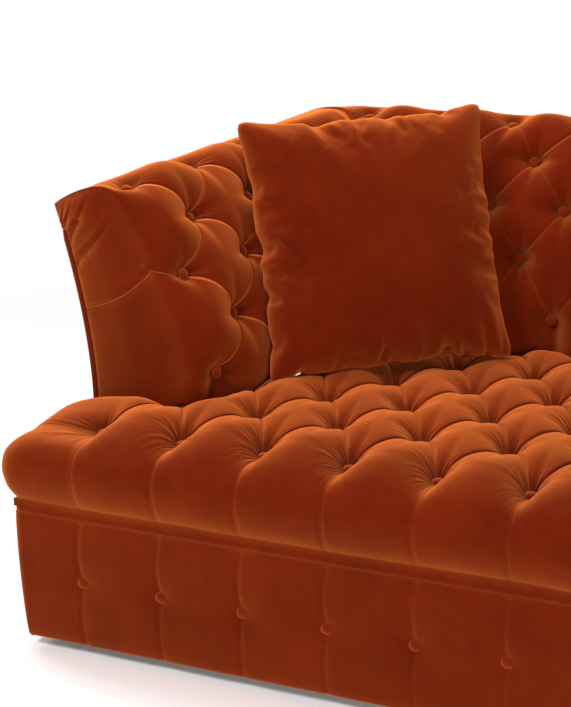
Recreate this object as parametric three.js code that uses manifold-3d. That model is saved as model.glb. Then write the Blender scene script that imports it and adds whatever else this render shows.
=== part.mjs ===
// Deep-buttoned velvet sofa with splayed, rolled arms and one loose scatter cushion.
// Millimetres, +Z up. X runs along the seat, Y from the front to the back.
// The origin is the middle of the footprint, on the floor.

import * as THREE from 'three';
import { mergeVertices } from 'three/addons/utils/BufferGeometryUtils.js';
import Module from 'manifold-3d';

// Fits
const clearance = 0.3; // between pieces that touch
const overrun = 60; // how far a cutter runs past what it cuts
const weld = 0.0001; // corners this close are one corner

// Buttoning of the seat
const columnSpacing = 160;
const seatColumns = 12;
const rowSpacing = 145;
const tuftDepth = 45; // from a button's bed up to the crest beside it
const stepsPerPitch = 4; // facets from one button to the next
const pleatShare = 0.72; // height of a pleat's middle, as a share of the crest
const pleatRoundShare = 0.67; // how quickly a pleat climbs out of a button's bed
const puffRoundShare = 0.57;
const edgeFadePower = 1.15; // how the walls' puffs flatten toward the outer edge
const creaseDepth = 16; // how far the mattress is pressed down where it meets the wall
const creaseReach = 70;
const creaseFade = 130; // the puffs are back at full height this far from the wall

// Heights of the platform
const footHeight = 20;
const baseHeight = 263;
const bandHeight = 9; // shadow band between the piping and the mattress
const mattressHeight = 137; // from the band up to the buttons' beds
const seamHeight = footHeight + baseHeight;
const bedHeight = seamHeight + mattressHeight;

// Plan of the platform
const overallDepth = 1058;
const frontOverhang = 91; // front seam, ahead of the first row of buttons
const frontBulge = 22; // how far the mattress swells past that seam
const sideOverhang = 146; // side seam, outside the first column
const armSetback = 200; // arm fronts, behind the first row
const armSplay = THREE.MathUtils.degToRad(17.2);
const baseTaper = 15; // the base draws in this much toward the floor
const frontY = -overallDepth / 2;
const rowOneY = frontY + frontOverhang + frontBulge;
const seamFrontY = rowOneY - frontOverhang;
const armFrontY = rowOneY + armSetback;
const backY = overallDepth / 2;
const columnOneX = -(seatColumns - 1) * columnSpacing / 2;
const seamLeftX = columnOneX - sideOverhang;

// Wall of arms and back: a section that stands on the platform, leans out and rolls over.
// Its distances run inward from the outer top edge of an arm.
const topOverhang = 65; // outer top edge, outside the platform's side seam
const flareDepth = 76; // how far the outer face leans out from foot to top
const flareDrop = 20; // the lean starts this far below the beds
const flarePower = 1.75;
const armFootWidth = 306;
const backFootDepth = 195;
const armLength = backY - armFrontY;
const armTopX = seamLeftX - topOverhang;
const wallTuftDepth = 40;
const wallFrontShare = 0.8; // plain fronts stand this far up the puffs' height
const wallShares = { foot: 0.967, e: 1, d: 0.909, c: 0.778, b: 0.614, a: 0.405, edge: 0 };
const footGap = 3; // from the beds up to the pads' lower edge
const frontHeights = { foot: footGap, e: 58, d: 145, c: 240, b: 322, a: 392, edge: 368 };
const backHeights = { foot: footGap, e: 96, d: 214, c: 313, b: 403, a: 466, edge: 472 };
const firstArmTuft = 40; // first buttons, behind the arm front
const ribPlaceShares = { middle: 0.42, rear: 0.8 }; // ribs along an arm, behind the front one
const backRibCount = 4;
const armFrontRound = 60;
const frontStationShares = [0, 0.05, 0.2, 0.42]; // sections on the round at the arm's front
const backSqueeze = backFootDepth / armFootWidth;
const backOverhang = topOverhang * backSqueeze;

// Timber, boards and covers
const railThickness = 28;
const railLift = 7; // the rails start this far above the borders' lower edges
const railBottom = footHeight + railLift;
const ribThickness = 22;
const frameDepth = 45;
const topRailHeight = 40;
const rollDepth = 48; // roll of padding over the top rail
const panelThickness = 8;
const frontPadding = 20; // padding ahead of the arm's front rib
const borderThickness = 23;
const blockSize = 90;
const blockHeight = 80;
const strapWidth = 50;
const strapThickness = 3;
const railTop = seamHeight - strapThickness;
const mattressBottom = railTop + strapThickness + 2 * clearance;
const strapCount = 6;
const coverThickness = 2;
const coverInset = 31;
const pipingRadius = 5;
const channelDepth = 6; // swell of the base front between its pleats
const channelRoundShare = 0.6;
const edgeSwell = 12; // and of the mattress's edge
const baseButtonHeight = 151;
const buttonRadius = 11.5;
const buttonRise = 10; // from its flat back, half sunk in the cover, to its crown
const buttonSides = 10;
const pipingSides = 8;

// Feet
const footTopRadius = 28;
const footBottomRadius = 22;
const footInset = 75;
const footSides = 20;

// Scatter cushion
const cushionSize = 500;
const cushionThickness = 150;
const cushionDrawInShare = 0.05;
const crownPower = 2.4; // how flat the crown's middle is
const crownRoundShare = 0.55; // how quickly the crown falls to the seam
const cushionEdge = 5;
const cushionSteps = 14;
const cushionCrowdShare = 0.6;
const cushionYaw = THREE.MathUtils.degToRad(38);
const cushionLean = THREE.MathUtils.degToRad(16);
const cushionTilt = THREE.MathUtils.degToRad(2.5);
const cushionRight = 342; // middle of the cushion, right of the first column
const cushionBack = 440; // and ahead of the sofa's rear
const zipLength = 410;
const tapeWidth = 14;
const tapeThickness = 1.5;
const zipDepth = 25; // bottom of the zip's slot, inside the cushion's nominal side
const sliderLength = 12;
const sliderHeight = 3;
const sliderWidth = 8;
const lugHeight = 3.4;
const lugThickness = 1.4;
const pinRadius = 0.8;
const pinPlay = 0.1;
const pinSides = 12;
const pullLength = 14;
const pullWidth = 3.6;
const pullDroop = THREE.MathUtils.degToRad(18);
const sliderStart = -190; // along the zip, where the slider is parked

// Looks
const velvetTop = 0xb8502a;
const velvetSide = 0x8e2f12;
const velvetDark = 0x6f200f;
const timber = 0xc79a63;
const plywood = 0xd0aa76;
const webbing = 0xb79b6e;
const cambric = 0x1c1b1a;
const stainedWood = 0x2b1a12;
const nickel = 0xc9c6bf;
const tapeRed = 0x7d2712;

const wasm = await Module();
wasm.setup();

const sofa = new THREE.Group();
sofa.name = 'sofa';

function material(color, roughness, metalness = 0) {
  return new THREE.MeshStandardMaterial({ color, roughness, metalness });
}

function addPiece(name, geometry, color, roughness = 0.85, metalness = 0, parent = sofa) {
  const mesh = new THREE.Mesh(geometry, material(color, roughness, metalness));
  mesh.name = name;
  parent.add(mesh);
  return mesh;
}

// Solids and cuts

function toSolid(geometry) {
  const bare = geometry.clone();
  bare.deleteAttribute('normal');
  bare.deleteAttribute('uv');
  const merged = mergeVertices(bare, weld);
  return new wasm.Manifold(new wasm.Mesh({
    numProp: 3,
    vertProperties: new Float32Array(merged.attributes.position.array),
    triVerts: new Uint32Array(merged.index.array),
  }));
}

function toGeometry(solid) {
  const mesh = solid.getMesh();
  const geometry = new THREE.BufferGeometry();
  geometry.setAttribute('position', new THREE.BufferAttribute(new Float32Array(mesh.vertProperties), 3));
  geometry.setIndex(new THREE.BufferAttribute(new Uint32Array(mesh.triVerts), 1));
  return geometry;
}

function subtract(geometry, ...cutters) {
  let solid = toSolid(geometry);
  for (const cutter of cutters) {
    solid = solid.subtract(toSolid(cutter));
  }
  return toGeometry(solid);
}

function intersect(geometry, ...others) {
  let solid = toSolid(geometry);
  for (const other of others) {
    solid = solid.intersect(toSolid(other));
  }
  return toGeometry(solid);
}

function unite(geometry, others) {
  let solid = toSolid(geometry);
  for (const other of others) {
    solid = solid.add(toSolid(other));
  }
  return toGeometry(solid);
}

// A closed solid through rings of equally many points. diagonal(ring, point) turns a quad's fold.
function loft(rings, diagonal = () => false) {
  const count = rings[0].length;
  const positions = rings.flat().flatMap((p) => [p.x, p.y, p.z]);
  const index = [];
  for (let i = 0; i < rings.length - 1; i += 1) {
    for (let j = 0; j < count; j += 1) {
      const a = i * count + j;
      const b = i * count + (j + 1) % count;
      const c = a + count;
      const d = b + count;
      if (diagonal(i, j)) {
        index.push(a, b, d, a, d, c);
      } else {
        index.push(a, b, c, b, d, c);
      }
    }
  }
  capRing(rings[0], 0, index, true);
  capRing(rings[rings.length - 1], (rings.length - 1) * count, index, false);
  const geometry = new THREE.BufferGeometry();
  geometry.setAttribute('position', new THREE.Float32BufferAttribute(positions, 3));
  geometry.setIndex(index);
  return facingOut(geometry);
}

function capRing(ring, start, index, reversed) {
  const spanX = Math.max(...ring.map((p) => p.x)) - Math.min(...ring.map((p) => p.x));
  const spanY = Math.max(...ring.map((p) => p.y)) - Math.min(...ring.map((p) => p.y));
  const spanZ = Math.max(...ring.map((p) => p.z)) - Math.min(...ring.map((p) => p.z));
  const smallest = Math.min(spanX, spanY, spanZ);
  let flat;
  if (smallest === spanZ) {
    flat = ring.map((p) => new THREE.Vector2(p.x, p.y));
  } else if (spanX > spanY) {
    flat = ring.map((p) => new THREE.Vector2(p.x, p.z));
  } else {
    flat = ring.map((p) => new THREE.Vector2(p.y, p.z));
  }
  const clockwise = THREE.ShapeUtils.isClockWise(flat);
  const order = ring.map((_, i) => i);
  if (clockwise) {
    flat.reverse();
    order.reverse();
  }
  for (const [a, b, c] of THREE.ShapeUtils.triangulateShape(flat, [])) {
    const face = [start + order[a], start + order[b], start + order[c]];
    index.push(...(clockwise === reversed ? face : face.reverse()));
  }
}

function signedVolume(geometry) {
  const p = geometry.attributes.position;
  const at = (i) => new THREE.Vector3().fromBufferAttribute(p, i);
  let volume = 0;
  for (let i = 0; i < geometry.index.count; i += 3) {
    const [a, b, c] = [0, 1, 2].map((k) => at(geometry.index.getX(i + k)));
    volume += a.dot(b.cross(c));
  }
  return volume;
}

function facingOut(geometry) {
  if (signedVolume(geometry) < 0) {
    const index = geometry.index;
    for (let i = 0; i < index.count; i += 3) {
      const swap = index.getX(i);
      index.setX(i, index.getX(i + 1));
      index.setX(i + 1, swap);
    }
  }
  return geometry;
}

function mirrored(geometry) {
  const copy = geometry.index ? geometry.clone() : mergeVertices(geometry);
  copy.scale(-1, 1, 1);
  return facingOut(copy);
}

// A prism on a plan outline of [x, y] points
function prism(outline, bottom, top) {
  return loft([bottom, top].map((z) => outline.map(([x, y]) => new THREE.Vector3(x, y, z))));
}

function smooth(value) {
  const t = THREE.MathUtils.clamp(value, 0, 1);
  return t * t * (3 - 2 * t);
}

// Deep buttoning: 0 on a button, 1 on a crest, with pleats along the diamond's sides.
function tuftHeight(column, row) {
  const first = Math.abs(Math.sin(Math.PI * (column + row / 2)));
  const second = Math.abs(Math.sin(Math.PI * (column - row / 2)));
  const pleat = pleatShare * Math.max(first, second) ** pleatRoundShare;
  return pleat + (1 - pleatShare) * (first * second) ** puffRoundShare;
}

// Outline of the platform, drawn in by a distance: front left, left knee, back left and so on.
function platformOutline(inset) {
  const kneeX = armTopX + topOverhang;
  const rearX = kneeX + armLength * Math.tan(armSplay);
  const rearY = backY - backOverhang;
  const corners = [
    [seamLeftX, seamFrontY],
    [-seamLeftX, seamFrontY],
    [-kneeX, armFrontY],
    [-rearX + backOverhang * Math.tan(armSplay), rearY],
    [rearX - backOverhang * Math.tan(armSplay), rearY],
    [kneeX, armFrontY],
  ];
  return corners.map((corner, i) => {
    const before = corners[(i + corners.length - 1) % corners.length];
    const after = corners[(i + 1) % corners.length];
    return insetCorner(before, corner, after, inset);
  });
}

function insetCorner(before, corner, after, inset) {
  const inDirection = new THREE.Vector2(corner[0] - before[0], corner[1] - before[1]).normalize();
  const outDirection = new THREE.Vector2(after[0] - corner[0], after[1] - corner[1]).normalize();
  const inNormal = new THREE.Vector2(-inDirection.y, inDirection.x);
  const outNormal = new THREE.Vector2(-outDirection.y, outDirection.x);
  const reach = inset / (1 + inNormal.dot(outNormal));
  return [
    corner[0] + (inNormal.x + outNormal.x) * reach,
    corner[1] + (inNormal.y + outNormal.y) * reach,
  ];
}

function ringPoint([x, y], z) {
  return new THREE.Vector3(x, y, z);
}

// Base: rails, blocks, straps, feet and the cloth below

const railOuter = baseTaper + borderThickness + clearance;
const outerLine = platformOutline(railOuter);
const innerLine = platformOutline(railOuter + railThickness);

function addRails() {
  const [frontLeft, frontRight, kneeRight, backRight, backLeft, kneeLeft] = outerLine;
  const [inFrontLeft, inFrontRight, inKneeRight, inBackRight, inBackLeft, inKneeLeft] = innerLine;
  const rail = (name, outline) => addPiece(name, prism(outline, railBottom, railTop), timber, 0.7);
  const between = clearance / 2;
  rail('front_rail', [
    frontLeft, frontRight, [frontRight[0], inFrontRight[1]], [frontLeft[0], inFrontLeft[1]],
  ]);
  rail('rear_rail', [
    [backLeft[0], inBackLeft[1]], [backRight[0], inBackRight[1]], backRight, backLeft,
  ]);
  const shortRail = [
    [frontLeft[0], inFrontLeft[1] + clearance],
    [inFrontLeft[0], inFrontLeft[1] + clearance],
    [inKneeLeft[0], inKneeLeft[1] - between],
    [kneeLeft[0], kneeLeft[1] - between],
  ];
  const rearStart = inBackLeft[1] - clearance;
  const alongOuter = (rearStart - kneeLeft[1]) / (backLeft[1] - kneeLeft[1]);
  const alongInner = (rearStart - inKneeLeft[1]) / (inBackLeft[1] - inKneeLeft[1]);
  const longRail = [
    [kneeLeft[0], kneeLeft[1] + between],
    [inKneeLeft[0], inKneeLeft[1] + between],
    [THREE.MathUtils.lerp(inKneeLeft[0], inBackLeft[0], alongInner), rearStart],
    [THREE.MathUtils.lerp(kneeLeft[0], backLeft[0], alongOuter), rearStart],
  ];
  const flip = (outline) => outline.map(([x, y]) => [-x, y]);
  rail('left_front_rail', shortRail);
  rail('right_front_rail', flip(shortRail));
  rail('left_side_rail', longRail);
  rail('right_side_rail', flip(longRail));
}

function addCrossRails() {
  const start = innerLine[0][1] + clearance;
  const end = innerLine[3][1] - clearance;
  const spacing = innerLine[3][0] / 2;
  for (const [side, x] of [['left', -spacing], ['centre', 0], ['right', spacing]]) {
    const outline = [
      [x - railThickness / 2, start],
      [x + railThickness / 2, start],
      [x + railThickness / 2, end],
      [x - railThickness / 2, end],
    ];
    addPiece(`${side}_cross_rail`, prism(outline, railBottom, railTop), timber, 0.7);
  }
}

function addCornerBlocks() {
  const top = railBottom + blockHeight;
  const [frontX, frontCorner] = [innerLine[0][0] + clearance, innerLine[0][1] + clearance];
  const front = [
    [frontX, frontCorner],
    [frontX + blockSize, frontCorner],
    [frontX + blockSize, frontCorner + blockSize / 2],
    [frontX + blockSize / 2, frontCorner + blockSize],
    [frontX, frontCorner + blockSize],
  ];
  const lean = Math.tan(armSplay);
  const rearX = innerLine[4][0] + clearance / Math.cos(armSplay);
  const rearY = innerLine[4][1] - clearance;
  const rear = [
    [rearX - blockSize * lean, rearY - blockSize],
    [rearX + blockSize / 2, rearY - blockSize],
    [rearX + blockSize, rearY - blockSize / 2],
    [rearX + blockSize, rearY],
    [rearX, rearY],
  ];
  for (const [name, outline] of [['front', front], ['rear', rear]]) {
    const block = prism(outline, railBottom, top);
    addPiece(`left_${name}_block`, block, timber, 0.7);
    addPiece(`right_${name}_block`, mirrored(block), timber, 0.7);
  }
}

function footPlaces() {
  const frontX = innerLine[0][0] + blockSize / 2;
  const frontPlace = innerLine[0][1] + blockSize / 2;
  const rearX = innerLine[4][0] + blockSize / 2;
  const rearPlace = innerLine[4][1] - blockSize / 2;
  const middle = innerLine[0][1] + footInset;
  const middleRear = innerLine[4][1] - footInset;
  return {
    left_front_foot: [frontX, frontPlace],
    right_front_foot: [-frontX, frontPlace],
    left_rear_foot: [rearX, rearPlace],
    right_rear_foot: [-rearX, rearPlace],
    centre_front_foot: [0, middle],
    centre_rear_foot: [0, middleRear],
  };
}

function addFeet() {
  const height = railBottom - clearance;
  for (const [name, [x, y]] of Object.entries(footPlaces())) {
    const foot = new THREE.CylinderGeometry(footTopRadius, footBottomRadius, height, footSides);
    foot.rotateX(Math.PI / 2);
    const mesh = addPiece(name, foot, stainedWood, 0.5);
    mesh.position.set(x, y, height / 2);
  }
}

function addDustCover() {
  const outline = platformOutline(baseTaper + coverInset);
  const top = railBottom - clearance;
  const cover = prism(outline, top - coverThickness, top);
  const holes = Object.values(footPlaces()).map(([x, y]) => {
    const radius = footTopRadius + clearance;
    const hole = new THREE.CylinderGeometry(radius, radius, overrun, footSides);
    hole.rotateX(Math.PI / 2);
    hole.translate(x, y, top);
    return hole;
  });
  addPiece('dust_cover', subtract(cover, ...holes), cambric, 0.95);
}

function addStraps() {
  const bottom = railTop + clearance;
  const spread = 2 * Math.abs(innerLine[4][0]) - strapWidth;
  for (let i = 0; i < strapCount; i += 1) {
    const x = -spread / 2 + spread * (i / (strapCount - 1));
    const outline = [
      [x - strapWidth / 2, outerLine[0][1]],
      [x + strapWidth / 2, outerLine[0][1]],
      [x + strapWidth / 2, innerLine[4][1]],
      [x - strapWidth / 2, innerLine[4][1]],
    ];
    addPiece(`webbing_strap_${i + 1}`, prism(outline, bottom, bottom + strapThickness), webbing, 0.95);
  }
}

// Covers of the base: a padded border on each side and the piping on top of it

function borderRing(outer, inner, outerLow, innerLow, top) {
  return [
    ringPoint(outer, top),
    ringPoint(outerLow, footHeight),
    ringPoint(innerLow, footHeight),
    ringPoint(inner, top),
  ];
}

function addBorders() {
  const top = seamHeight - 2 * pipingRadius;
  const outer = platformOutline(0);
  const inner = platformOutline(borderThickness);
  const outerLow = platformOutline(baseTaper);
  const innerLow = platformOutline(baseTaper + borderThickness);
  const corner = (i) => borderRing(outer[i], inner[i], outerLow[i], innerLow[i], top);
  const rearRings = [corner(3), corner(4)];
  addPiece('rear_border', loft(rearRings), velvetSide);
  const shifted = (ring, distance) => ring.map((p) => p.clone().add(new THREE.Vector3(0, distance, 0)));
  const leftRings = [shifted(corner(4), -clearance), corner(5), shifted(corner(0), clearance)];
  const left = loft(leftRings);
  addPiece('left_border', left, velvetSide);
  addPiece('right_border', mirrored(left), velvetSide);
  addPiece('front_border', frontBorder(outer, outerLow, top), velvetSide);
}

// Front border: one shallow channel to each column, and a button on each pleat
function frontBorder(outer, outerLow, top) {
  const step = columnSpacing / stepsPerPitch;
  const places = [outer[0][0]];
  for (let i = 0; i <= (seatColumns - 1) * stepsPerPitch; i += 1) {
    places.push(columnOneX + i * step);
  }
  places.push(outer[1][0]);
  const lowShare = (outerLow[1][0] - outerLow[0][0]) / (outer[1][0] - outer[0][0]);
  const heights = [top, baseButtonHeight, footHeight];
  const rings = places.map((x, i) => {
    const wave = Math.abs(Math.sin(Math.PI * (x - columnOneX) / columnSpacing));
    const swell = channelDepth * wave ** channelRoundShare;
    const front = heights.map((z) => {
      const low = (top - z) / (top - footHeight);
      const fade = z === top ? 0 : 1;
      const across = THREE.MathUtils.lerp(x, x * lowShare, low);
      return new THREE.Vector3(across, seamFrontY + baseTaper * low - swell * fade, z);
    });
    const atEnd = i === 0 || i === places.length - 1;
    const mitre = atEnd ? -Math.sign(x) * borderThickness : 0;
    const lowBack = seamFrontY + baseTaper + borderThickness;
    const backLow = new THREE.Vector3(front[2].x + mitre, lowBack, footHeight);
    const backTop = new THREE.Vector3(x + mitre, seamFrontY + borderThickness, top);
    return [...front, backLow, backTop];
  });
  const low = (top - baseButtonHeight) / (top - footHeight);
  const buttons = [];
  for (let column = 0; column < seatColumns; column += 1) {
    const x = (columnOneX + column * columnSpacing) * THREE.MathUtils.lerp(1, lowShare, low);
    const button = domeButton();
    button.rotateX(Math.PI / 2);
    button.translate(x, seamFrontY + baseTaper * low + buttonRise / 2, baseButtonHeight);
    buttons.push(button);
  }
  return unite(loft(rings), buttons);
}

// Covered button facing +Z: its shape in shares of its radius and its rise
const buttonShares = [[0, 0], [0.9, 0], [1, 0.4], [0.75, 0.8], [0, 1]];

function domeButton() {
  const profile = buttonShares.map(([r, z]) => new THREE.Vector2(r * buttonRadius, z * buttonRise));
  const button = new THREE.LatheGeometry(profile, buttonSides);
  button.rotateX(Math.PI / 2);
  return button;
}

function pipingRun(points) {
  return loft(points.map((point, i) => {
    const before = points[Math.max(i - 1, 0)];
    const after = points[Math.min(i + 1, points.length - 1)];
    const along = after.clone().sub(before).normalize();
    const out = new THREE.Vector3(along.y, -along.x, 0);
    return Array.from({ length: pipingSides }, (_, k) => {
      const angle = (k + 0.5) / pipingSides * 2 * Math.PI;
      const ring = point.clone().addScaledVector(out, Math.cos(angle) * pipingRadius);
      ring.z += Math.sin(angle) * pipingRadius;
      return ring;
    });
  }));
}

function addPiping() {
  const line = platformOutline(pipingRadius);
  const z = seamHeight - pipingRadius + clearance;
  const at = (i) => ringPoint(line[i], z);
  const room = 2 * pipingRadius + clearance;
  const shifted = (i, x, y) => at(i).add(new THREE.Vector3(x, y, 0));
  addPiece('front_piping', pipingRun([at(0), at(1)]), velvetDark);
  addPiece('rear_piping', pipingRun([shifted(3, -room, 0), shifted(4, room, 0)]), velvetDark);
  const left = pipingRun([at(4), at(5), shifted(0, 0, pipingRadius + clearance)]);
  addPiece('left_piping', left, velvetDark);
  addPiece('right_piping', mirrored(left), velvetDark);
}

// Wall section

function outerFace(z, topHeight) {
  const share = THREE.MathUtils.clamp((z + flareDrop) / (topHeight + flareDrop), 0, 1);
  return flareDepth * (1 - share ** flarePower);
}

function wallCurve(along) {
  const keys = Object.keys(wallShares);
  return new THREE.SplineCurve(keys.map((key) => new THREE.Vector2(
    wallShares[key] * armFootWidth,
    THREE.MathUtils.lerp(frontHeights[key], backHeights[key], along),
  )));
}

const wallRows = Object.keys(wallShares).length - 1; // from the foot to the edge
const stepsPerRow = stepsPerPitch / 2;

// One closed ring of the wall: the buttoned face from foot to edge, then the outer face.
// squeeze turns an arm's widths into the back's. plain fades the buttoning out.
function wallRing(along, column, squeeze, inset, plain) {
  const curve = wallCurve(along);
  const edgeHeight = THREE.MathUtils.lerp(frontHeights.edge, backHeights.edge, along);
  const ring = [];
  const steps = wallRows * stepsPerRow;
  for (let i = 0; i <= steps; i += 1) {
    const q = i / stepsPerRow;
    const point = curve.getPoint(i / steps);
    const tangent = curve.getTangent(i / steps);
    tangent.x *= squeeze;
    tangent.normalize();
    const fade = wallFade(q);
    const height = THREE.MathUtils.lerp(wallTuft(column, q), fade * wallFrontShare, plain) * wallTuftDepth;
    const across = Math.max(point.x * squeeze - inset * Math.min(1, 2 * (1 - q / wallRows)), 0);
    ring.push([across + tangent.y * height, point.y - tangent.x * height]);
  }
  const foot = ring[0];
  const outerSteps = 4;
  for (let i = 1; i <= outerSteps; i += 1) {
    const z = THREE.MathUtils.lerp(edgeHeight, -flareDrop, i / outerSteps);
    ring.push([outerFace(z, edgeHeight) * squeeze, z]);
  }
  const bottom = seamHeight - bedHeight + bandHeight;
  ring.push([flareDepth * squeeze, bottom]);
  ring.push([foot[0], bottom]);
  return ring.map(([w, z]) => [w, z + bedHeight]);
}

// Share of the puff that is left near the foot and near the outer edge
function wallFade(q) {
  const nearFoot = Math.sqrt(THREE.MathUtils.clamp(q, 0, 1));
  const nearEdge = THREE.MathUtils.clamp(wallRows - q, 0, 1) ** edgeFadePower;
  return Math.min(nearFoot, nearEdge);
}

function wallTuft(column, q) {
  const row = THREE.MathUtils.clamp(q - 1, 0, wallRows - 2);
  return tuftHeight(column, row) * wallFade(q);
}

function wallPoint(distance, [w, z]) {
  return new THREE.Vector3(armTopX + distance * Math.tan(armSplay) + w, armFrontY + distance, z);
}

function backPoint(x, [w, z]) {
  return new THREE.Vector3(x, backY - w, z);
}

// Where the mitre between the left arm and the back lies, at a depth inside the back
function mitreX(depth) {
  const cornerX = armTopX + armLength * Math.tan(armSplay);
  const innerX = cornerX + armFootWidth - backFootDepth * Math.tan(armSplay);
  return THREE.MathUtils.lerp(cornerX, innerX, depth / backFootDepth);
}

// Everything on the far side of that mitre
function mitreCutter(ofArm) {
  const along = new THREE.Vector2(mitreX(backFootDepth) - mitreX(0), -backFootDepth).normalize();
  const side = new THREE.Vector2(-along.y, along.x).multiplyScalar(ofArm ? 1 : -1);
  const start = new THREE.Vector2(mitreX(0), backY).addScaledVector(along, -armLength);
  const end = start.clone().addScaledVector(along, 2 * armLength);
  const gap = side.clone().multiplyScalar(-clearance / 2);
  const far = side.clone().multiplyScalar(3 * armLength);
  const outline = [
    start.clone().add(gap), end.clone().add(gap), end.clone().add(far), start.clone().add(far),
  ].map((p) => [p.x, p.y]);
  return prism(outline, 0, 3 * bedHeight);
}

const armMitre = mitreCutter(true);
const backMitre = mitreCutter(false);

function armStations() {
  const stations = frontStations();
  const step = columnSpacing / stepsPerPitch;
  for (let y = firstArmTuft; y < armLength + overrun; y += step) {
    stations.push(y);
  }
  return stations;
}

// Stations on the round between an arm's front and its inner face
function frontStations() {
  return frontStationShares.map((share) => share * armFrontRound);
}

function frontInset(distance) {
  const turn = Math.max(armFrontRound - distance, 0) / armFrontRound;
  return armFrontRound * (1 - Math.sqrt(1 - turn * turn));
}

function armRing(distance) {
  const plain = THREE.MathUtils.clamp((firstArmTuft - distance) / firstArmTuft, 0, 1);
  const column = Math.max(distance - firstArmTuft, 0) / columnSpacing;
  const ring = wallRing(distance / armLength, column, 1, frontInset(distance), plain);
  return ring.map((p) => wallPoint(distance, p));
}

// Zones of the wall at a distance inside its outer face, from below the rails to the top

const zoneLevels = 6;
const zoneFold = (i, j) => j > zoneLevels + 1; // the same folds on both faces of a zone
const wallBottom = railTop + clearance;
const frameStart = panelThickness + clearance;
const frameEnd = frameStart + frameDepth;

function zoneOutline(along, from, to, squeeze) {
  const edgeHeight = THREE.MathUtils.lerp(frontHeights.edge, backHeights.edge, along);
  const heights = [railBottom - bedHeight];
  for (let i = 0; i <= zoneLevels; i += 1) {
    heights.push(THREE.MathUtils.lerp(-flareDrop, edgeHeight, i / zoneLevels));
  }
  const line = (offset) => heights.map((z) => [outerFace(z, edgeHeight) * squeeze + offset, z + bedHeight]);
  return [...line(from), ...line(to).reverse()];
}

function armZone(from, to) {
  const shares = [-0.1, 0, 0.25, 0.5, 0.75, 1.1];
  return loft(shares.map((along) => {
    const outline = zoneOutline(along, from, to, 1);
    return outline.map((p) => wallPoint(along * armLength, p));
  }), zoneFold);
}

function backZone(from, to) {
  const ends = [armTopX, -armTopX];
  return loft(ends.map((x) => zoneOutline(1, from, to, backSqueeze).map((p) => backPoint(x, p))), zoneFold);
}

function frameTop(along) {
  return bedHeight + THREE.MathUtils.lerp(frontHeights.edge, backHeights.edge, along) - rollDepth;
}

// A slab across an arm between two stations and two heights, which may rise along it
function armSlab(start, end, bottomOf, topOf) {
  const reach = 2 * armFootWidth;
  return loft([start, end].map((distance) => {
    const along = distance / armLength;
    const [low, high] = [bottomOf(along), topOf(along)];
    const corners = [[-reach, low], [reach, low], [reach, high], [-reach, high]];
    return corners.map((p) => wallPoint(distance, p));
  }));
}

function backSlab(start, end, bottom, top) {
  const outline = [[start, 0], [end, 0], [end, backY + overrun], [start, backY + overrun]];
  return prism(outline, bottom, top);
}

function addArms() {
  const ringSteps = wallRows * stepsPerRow;
  const stations = armStations();
  const lattice = stations.indexOf(firstArmTuft);
  const fold = (i, j) => j < ringSteps && (i - lattice + j) % 2 === 0;
  const whole = loft(stations.map(armRing), fold);
  const [low, past] = [() => railBottom, armLength + overrun];
  const room = armSlab(frontPadding, past, low, (a) => frameTop(a) + clearance);
  const panelRoom = armSlab(-overrun, past, low, (a) => frameTop(a) + clearance);
  const frameCut = intersect(armZone(-overrun, frameEnd + clearance), room);
  const panelCut = intersect(armZone(-overrun, panelThickness + clearance), panelRoom);
  addPair('arm_pad', subtract(whole, frameCut, panelCut, armMitre), velvetTop);
  const panelSpace = armSlab(0, past, () => wallBottom + bandHeight, frameTop);
  const panel = subtract(intersect(armZone(0, panelThickness), panelSpace), armMitre);
  addPair('outside_arm', panel, velvetSide);
  const frame = armZone(frameStart, frameEnd);
  const railUnder = (a) => frameTop(a) - topRailHeight;
  const railSpace = armSlab(frontPadding + clearance, past, railUnder, frameTop);
  addPair('arm_top_rail', subtract(intersect(frame, railSpace), armMitre), timber, 0.7);
  const ribStarts = { front: frontPadding + clearance };
  for (const [place, share] of Object.entries(ribPlaceShares)) {
    ribStarts[place] = armLength * share;
  }
  for (const [place, start] of Object.entries(ribStarts)) {
    const ribTop = (a) => railUnder(a) - clearance;
    const rib = intersect(frame, armSlab(start, start + ribThickness, () => wallBottom, ribTop));
    addPair(`arm_${place}_rib`, rib, plywood, 0.7);
  }
}

function addPair(name, geometry, color, roughness = 0.85) {
  addPiece(`left_${name}`, geometry, color, roughness);
  addPiece(`right_${name}`, mirrored(geometry), color, roughness);
}

function addBack() {
  const step = columnSpacing / stepsPerPitch;
  const reach = Math.abs(columnOneX) + columnSpacing / 2;
  const places = [];
  for (let x = -reach; x <= reach + step / 2; x += step) {
    places.push(x);
  }
  const ringSteps = wallRows * stepsPerRow;
  const fold = (i, j) => j < ringSteps && (i + j) % 2 === 0;
  const rings = places.map((x) => {
    const column = (x - columnOneX) / columnSpacing;
    return wallRing(1, column, backSqueeze, 0, 0).map((p) => backPoint(x, p));
  });
  const mitres = [backMitre, mirrored(backMitre)];
  const top = frameTop(1);
  const room = backSlab(armTopX, -armTopX, railBottom, top + clearance);
  const cut = intersect(backZone(-overrun, frameEnd + clearance), room);
  addPiece('back_pad', subtract(loft(rings, fold), cut, ...mitres), velvetTop);
  const panelSpace = backSlab(armTopX, -armTopX, wallBottom + bandHeight, top);
  const panel = intersect(backZone(0, panelThickness), panelSpace);
  addPiece('outside_back', subtract(panel, ...mitres), velvetSide);
  const frame = backZone(frameStart, frameEnd);
  const railSpace = backSlab(armTopX, -armTopX, top - topRailHeight, top);
  addPiece('back_top_rail', subtract(intersect(frame, railSpace), ...mitres), timber, 0.7);
  addBackRibs(frame, top - topRailHeight - clearance);
}

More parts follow.
